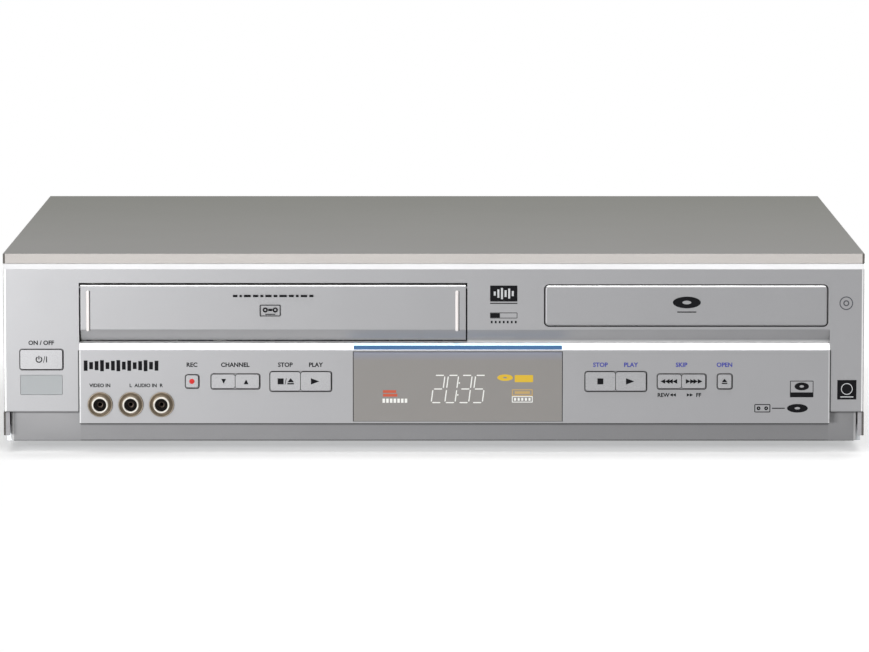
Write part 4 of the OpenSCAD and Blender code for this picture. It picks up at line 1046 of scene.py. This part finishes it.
def makeDoorSign(look):  # a cassette under a line of plain dashes
    x, y = front("cassette_door")[:2]
    z = span("cassette_door")[0].z
    sign = Build()
    draw(sign, x, y, z, look["cassette"])
    widths, dash = look["dashes"], look["dash"]
    left = x - (sum(widths) + dash * (len(widths) - 1)) / 2
    for width in widths:
        square(sign, left + width / 2, y, z + look["rise"], width, dash)
        left += width + dash
    sign.piece("door_sign", "ink", "cassette_door", "legend_ink")


def makeTraySign(marks):
    sign = Build()
    draw(sign, *front("tray_front"), marks)
    sign.piece("tray_sign", "ink", "tray", "legend_ink")


def makePanelSigns(signs):
    dark, pale, faint = Build(), Build(), Build()
    door, tray, sockets = span("cassette_door"), span("tray_front"), span("front_socket_shells")
    middle, top = (door[1].x + tray[0].x) / 2, tray[1].z
    end, height = panelHigh.x / mm, over("open")[1]
    draw(dark, middle, upperAt, top, signs["sound"])
    draw(pale, middle, upperAt - overInk, top, signs["levels"])
    draw(dark, end, faceAt, height, signs["disc"])
    draw(dark, end, upperAt, height, signs["end"])
    draw(pale, end, upperAt - overInk, height, signs["endMarks"])
    draw(faint, end, upperAt, front("tray_front")[2], signs["rings"])
    draw(dark, sockets[0].x, faceAt, sockets[1].z, signs["bars"])
    draw(dark, end, faceAt, height, signs["line"])
    dark.piece("panel_signs", "ink", "case", "legend_ink")
    pale.piece("sign_details", "paleInk", "case", "legend_ink")
    faint.piece("disc_sign", "greyInk", "case", "legend_ink")


makeDoorSign(doorSign)
makeTraySign(traySign)
makePanelSigns(panelSigns)


# Display: a slanted clock reading and plain indicator fields

readingLook = {  # mm
    "text": "20:35",
    "rise": 16.3,  # its middle over the window's lower edge
    "start": -12.4,  # its left end from the window's middle
    "height": 13.7,
    "width": 5.1,
    "pitch": 6.8,
    "line": 0.55,
    "slant": 0.13,
}
bars = {  # each bar's left end in digit widths, and its ends in half heights; equal ones for a flat bar
    "a": (0, 2, 2), "d": (0, 0, 0), "g": (0, 1, 1), "f": (0, 1, 2),
    "b": (1, 1, 2), "e": (0, 0, 1), "c": (1, 0, 1),
}
# the digits that the reading can show
digitBars = {"2": "abged", "0": "abcdef", "3": "abgcd", "5": "afgcd"}
displayFields = {  # by finish: marks round the middle of the window's lower edge
    "lampRed": ((square, -34.1, 15.0, 6.6, 1.35), (square, -33.8, 13.15, 7.2, 1.35)),
    "lampYellow": ((ring, 23.6, 22.0, 3.9, 1.0, 0.42), (block, 33.0, 21.5, 9.2, 3.6, 0.4)),
    "lampAmber": ((rim, 32.2, 14.5, 10.4, 3.3, 0.3, 0.5), (square, 32.2, 14.5, 7.6, 1.3)),
    "segment": ((squares, -37.0, 10.4, 1.85, 1.25, (2.1,) * 7), (rim, 32.2, 11.1, 10.4, 3.2, 0.3, 0.4),
                (squares, 28.6, 11.1, 1.8, 1.0, (1.4,) * 5)),
}


def makeReading(look, x, y, z):
    lit = Build()
    half, wide = look["height"] / 2, look["width"]
    line, inset = look["line"] / 2, look["line"] * 0.8

    def slanted(points):
        printed(lit, [(px + (pz - z) * look["slant"], pz) for px, pz in points], y)

    left = x + look["start"]
    for sign in look["text"]:
        if sign == ":":
            for side in (-1, 1):
                slanted(roundedBox(left - (look["pitch"] - wide) / 2, z + side * 3.0, 0.7, 0.7, 0.2))
            continue
        for bar in digitBars[sign]:
            x0, z0, z1 = bars[bar]
            if z0 == z1:
                a, b, at = left + inset, left + wide - inset, z + (z0 - 1) * half
                slanted([(a, at), (a + line, at - line), (b - line, at - line), (b, at),
                         (b - line, at + line), (a + line, at + line)])
            else:
                at, a, b = left + x0 * wide, z + (z0 - 1) * half + inset, z + (z1 - 1) * half - inset
                slanted([(at, a), (at + line, a + line), (at + line, b - line), (at, b),
                         (at - line, b - line), (at - line, a + line)])
        left += look["pitch"]
    lit.piece("clock_reading", "segment", "case", "window_plastic")


def makeDisplay(look, fields):
    x, y = front("display_window")[:2]
    z = span("display_window")[0].z
    makeReading(look, x, y, z + look["rise"])
    for finish, marks in fields.items():
        build = Build()
        draw(build, x, y, z, marks)
        build.piece("indicator_" + finish, finish, "case", "window_plastic")


makeDisplay(readingLook, displayFields)


# Cover screws, whose cross recess is dark painted shade

screwLook = {  # mm
    "sides": ((-117.7, 18.0), (122.3, 18.0)),  # y and z
    "rear": ((-170.0, 94.5), (0.0, 94.5), (170.0, 94.5)),  # x and z
    "flush": [(0, -0.75), (0.5, -0.7), (1.0, -0.25), (1.3, -0.12), (2.2, -0.1), (2.7, -0.2), (2.95, -0.5),
              (2.98, -1.0), (1.4, -1.0), (1.4, -5.0), (0, -5.0)],
    "domed": [(0, -0.9), (0.5, -0.85), (1.0, -0.25), (1.3, -0.08), (2.0, -0.15), (2.6, -0.5), (2.95, -1.05),
              (3.0, -1.6), (1.4, -1.6), (1.4, -6.0), (0, -6.0)],
    "cross": 0.28,  # half the width of its slots
    "flushCross": (1.3, 0.5, 0.08),  # half their length, and from how deep to how deep
    "domedCross": (1.4, 0.6, 0.05),
}


def makeScrews(look):
    low, high = span("cover_screws")
    heads, slotShadows = Build(), Build()
    half, deep, shallow = look["flushCross"]
    arms = ((look["cross"], half), (half, look["cross"]))
    for side, edge in ((1, high.x), (-1, low.x)):
        near, far = sorted((edge - side * deep, edge - side * shallow))
        for y, z in look["sides"]:
            heads.lathe([(r, side * a) for r, a in look["flush"]], (edge, y, z), "X", 32, False)
            for wide, tall in arms:
                slotShadows.box((near, y - wide, z - tall), (far, y + wide, z + tall))
    half, deep, shallow = look["domedCross"]
    arms = ((look["cross"], half), (half, look["cross"]))
    for x, z in look["rear"]:
        heads.lathe(look["domed"], (x, high.y, z), "Y", 32, False)
        for wide, tall in arms:
            slotShadows.box((x - wide, high.y - deep, z - tall), (x + wide, high.y - shallow, z + tall))
    heads.piece("screw_heads", "screw", "case", slotOf["cover_screws"], True, ["cover_screws"])
    # the cross recess as dark painted shade
    slotShadows.piece("screw_recess_shades", "socketDark", "case", slotOf["cover_screws"])


makeScrews(screwLook)


# Rear panel: frames and words round the sockets, and a plate with plain lines

rearLook = {  # mm
    "groups": ((0, 2, "OUT"), (3, 4, "IN")),  # first and last column of sockets, and the word
    "columns": ("VIDEO", "L", "R", "L", "R"),
    "aerials": ((27.0, "OUT"), (49.0, "IN")),  # height and word
    "groupWord": (2.6, 9.6),  # its height, and how far over the upper sockets it stands
    "columnWord": (1.6, -5.9),
    "aerialWord": (2.2, 12.5),  # its height, and how far beside the socket it stands
    "frame": (13.4, 1.2, 0.35),  # room round the sockets, corner radius, line
    "plate": (36.0, 26.0, 62, 26, 1.0),  # middle, size, corner radius
    "lines": (44, 50, 38, 50, 46, 30),
    "line": (25, 9.2, 3.4, 0.7),  # from the plate's middle: left end, first height; pitch, thickness
}


def makeRear(look):
    low, high = span("rear_socket_inserts")
    face = span("rear_panel")[1].y + ink - sunk  # a mark drawn from here reaches just past the panel
    pitch = (high.x - low.x - 2 * socketInsertR) / 4
    xs = [low.x + socketInsertR + column * pitch for column in range(5)]
    rows = (low.z + socketInsertR, high.z - socketInsertR)
    room, radius, line = look["frame"]
    words, plate, lines = Build(), Build(), Build()

    def word(text, height, x, z):
        words.letters(text, height, x, face + 0.09, z, Matrix.Rotation(math.pi, 4, "Z"))

    tall, rise = look["groupWord"]
    for first, last, text in look["groups"]:
        x = (xs[first] + xs[last]) / 2
        width, height = xs[last] - xs[first] + room, rows[1] - rows[0] + room
        rim(words, x, face, sum(rows) / 2, width, height, radius, line)
        word(text, tall, x, rows[1] + rise)
    tall, rise = look["columnWord"]
    for x, text in zip(xs, look["columns"]):
        for z in rows:
            word(text, tall, x, z + rise)
    tall, beside = look["aerialWord"]
    for z, text in look["aerials"]:
        word(text, tall, front("tuner")[0] + beside, z)
    plate.outline(roundedBox(*look["plate"]), face + 0.02, face + 0.13)
    left, rise, pitch, thick = look["line"]
    x, z = look["plate"][:2]
    for i, width in enumerate(look["lines"]):
        square(lines, x + left - width / 2, face + 0.16, z + rise - pitch * i, width, thick)
    words.piece("rear_words", "paleInk", "case", slotOf["rear_panel"])
    plate.piece("rear_plate", "paleInk", "case", slotOf["rear_panel"])
    lines.piece("rear_plate_lines", "greyInk", "case", slotOf["rear_panel"])


makeRear(rearLook)
print("signs, display, screws and rear")
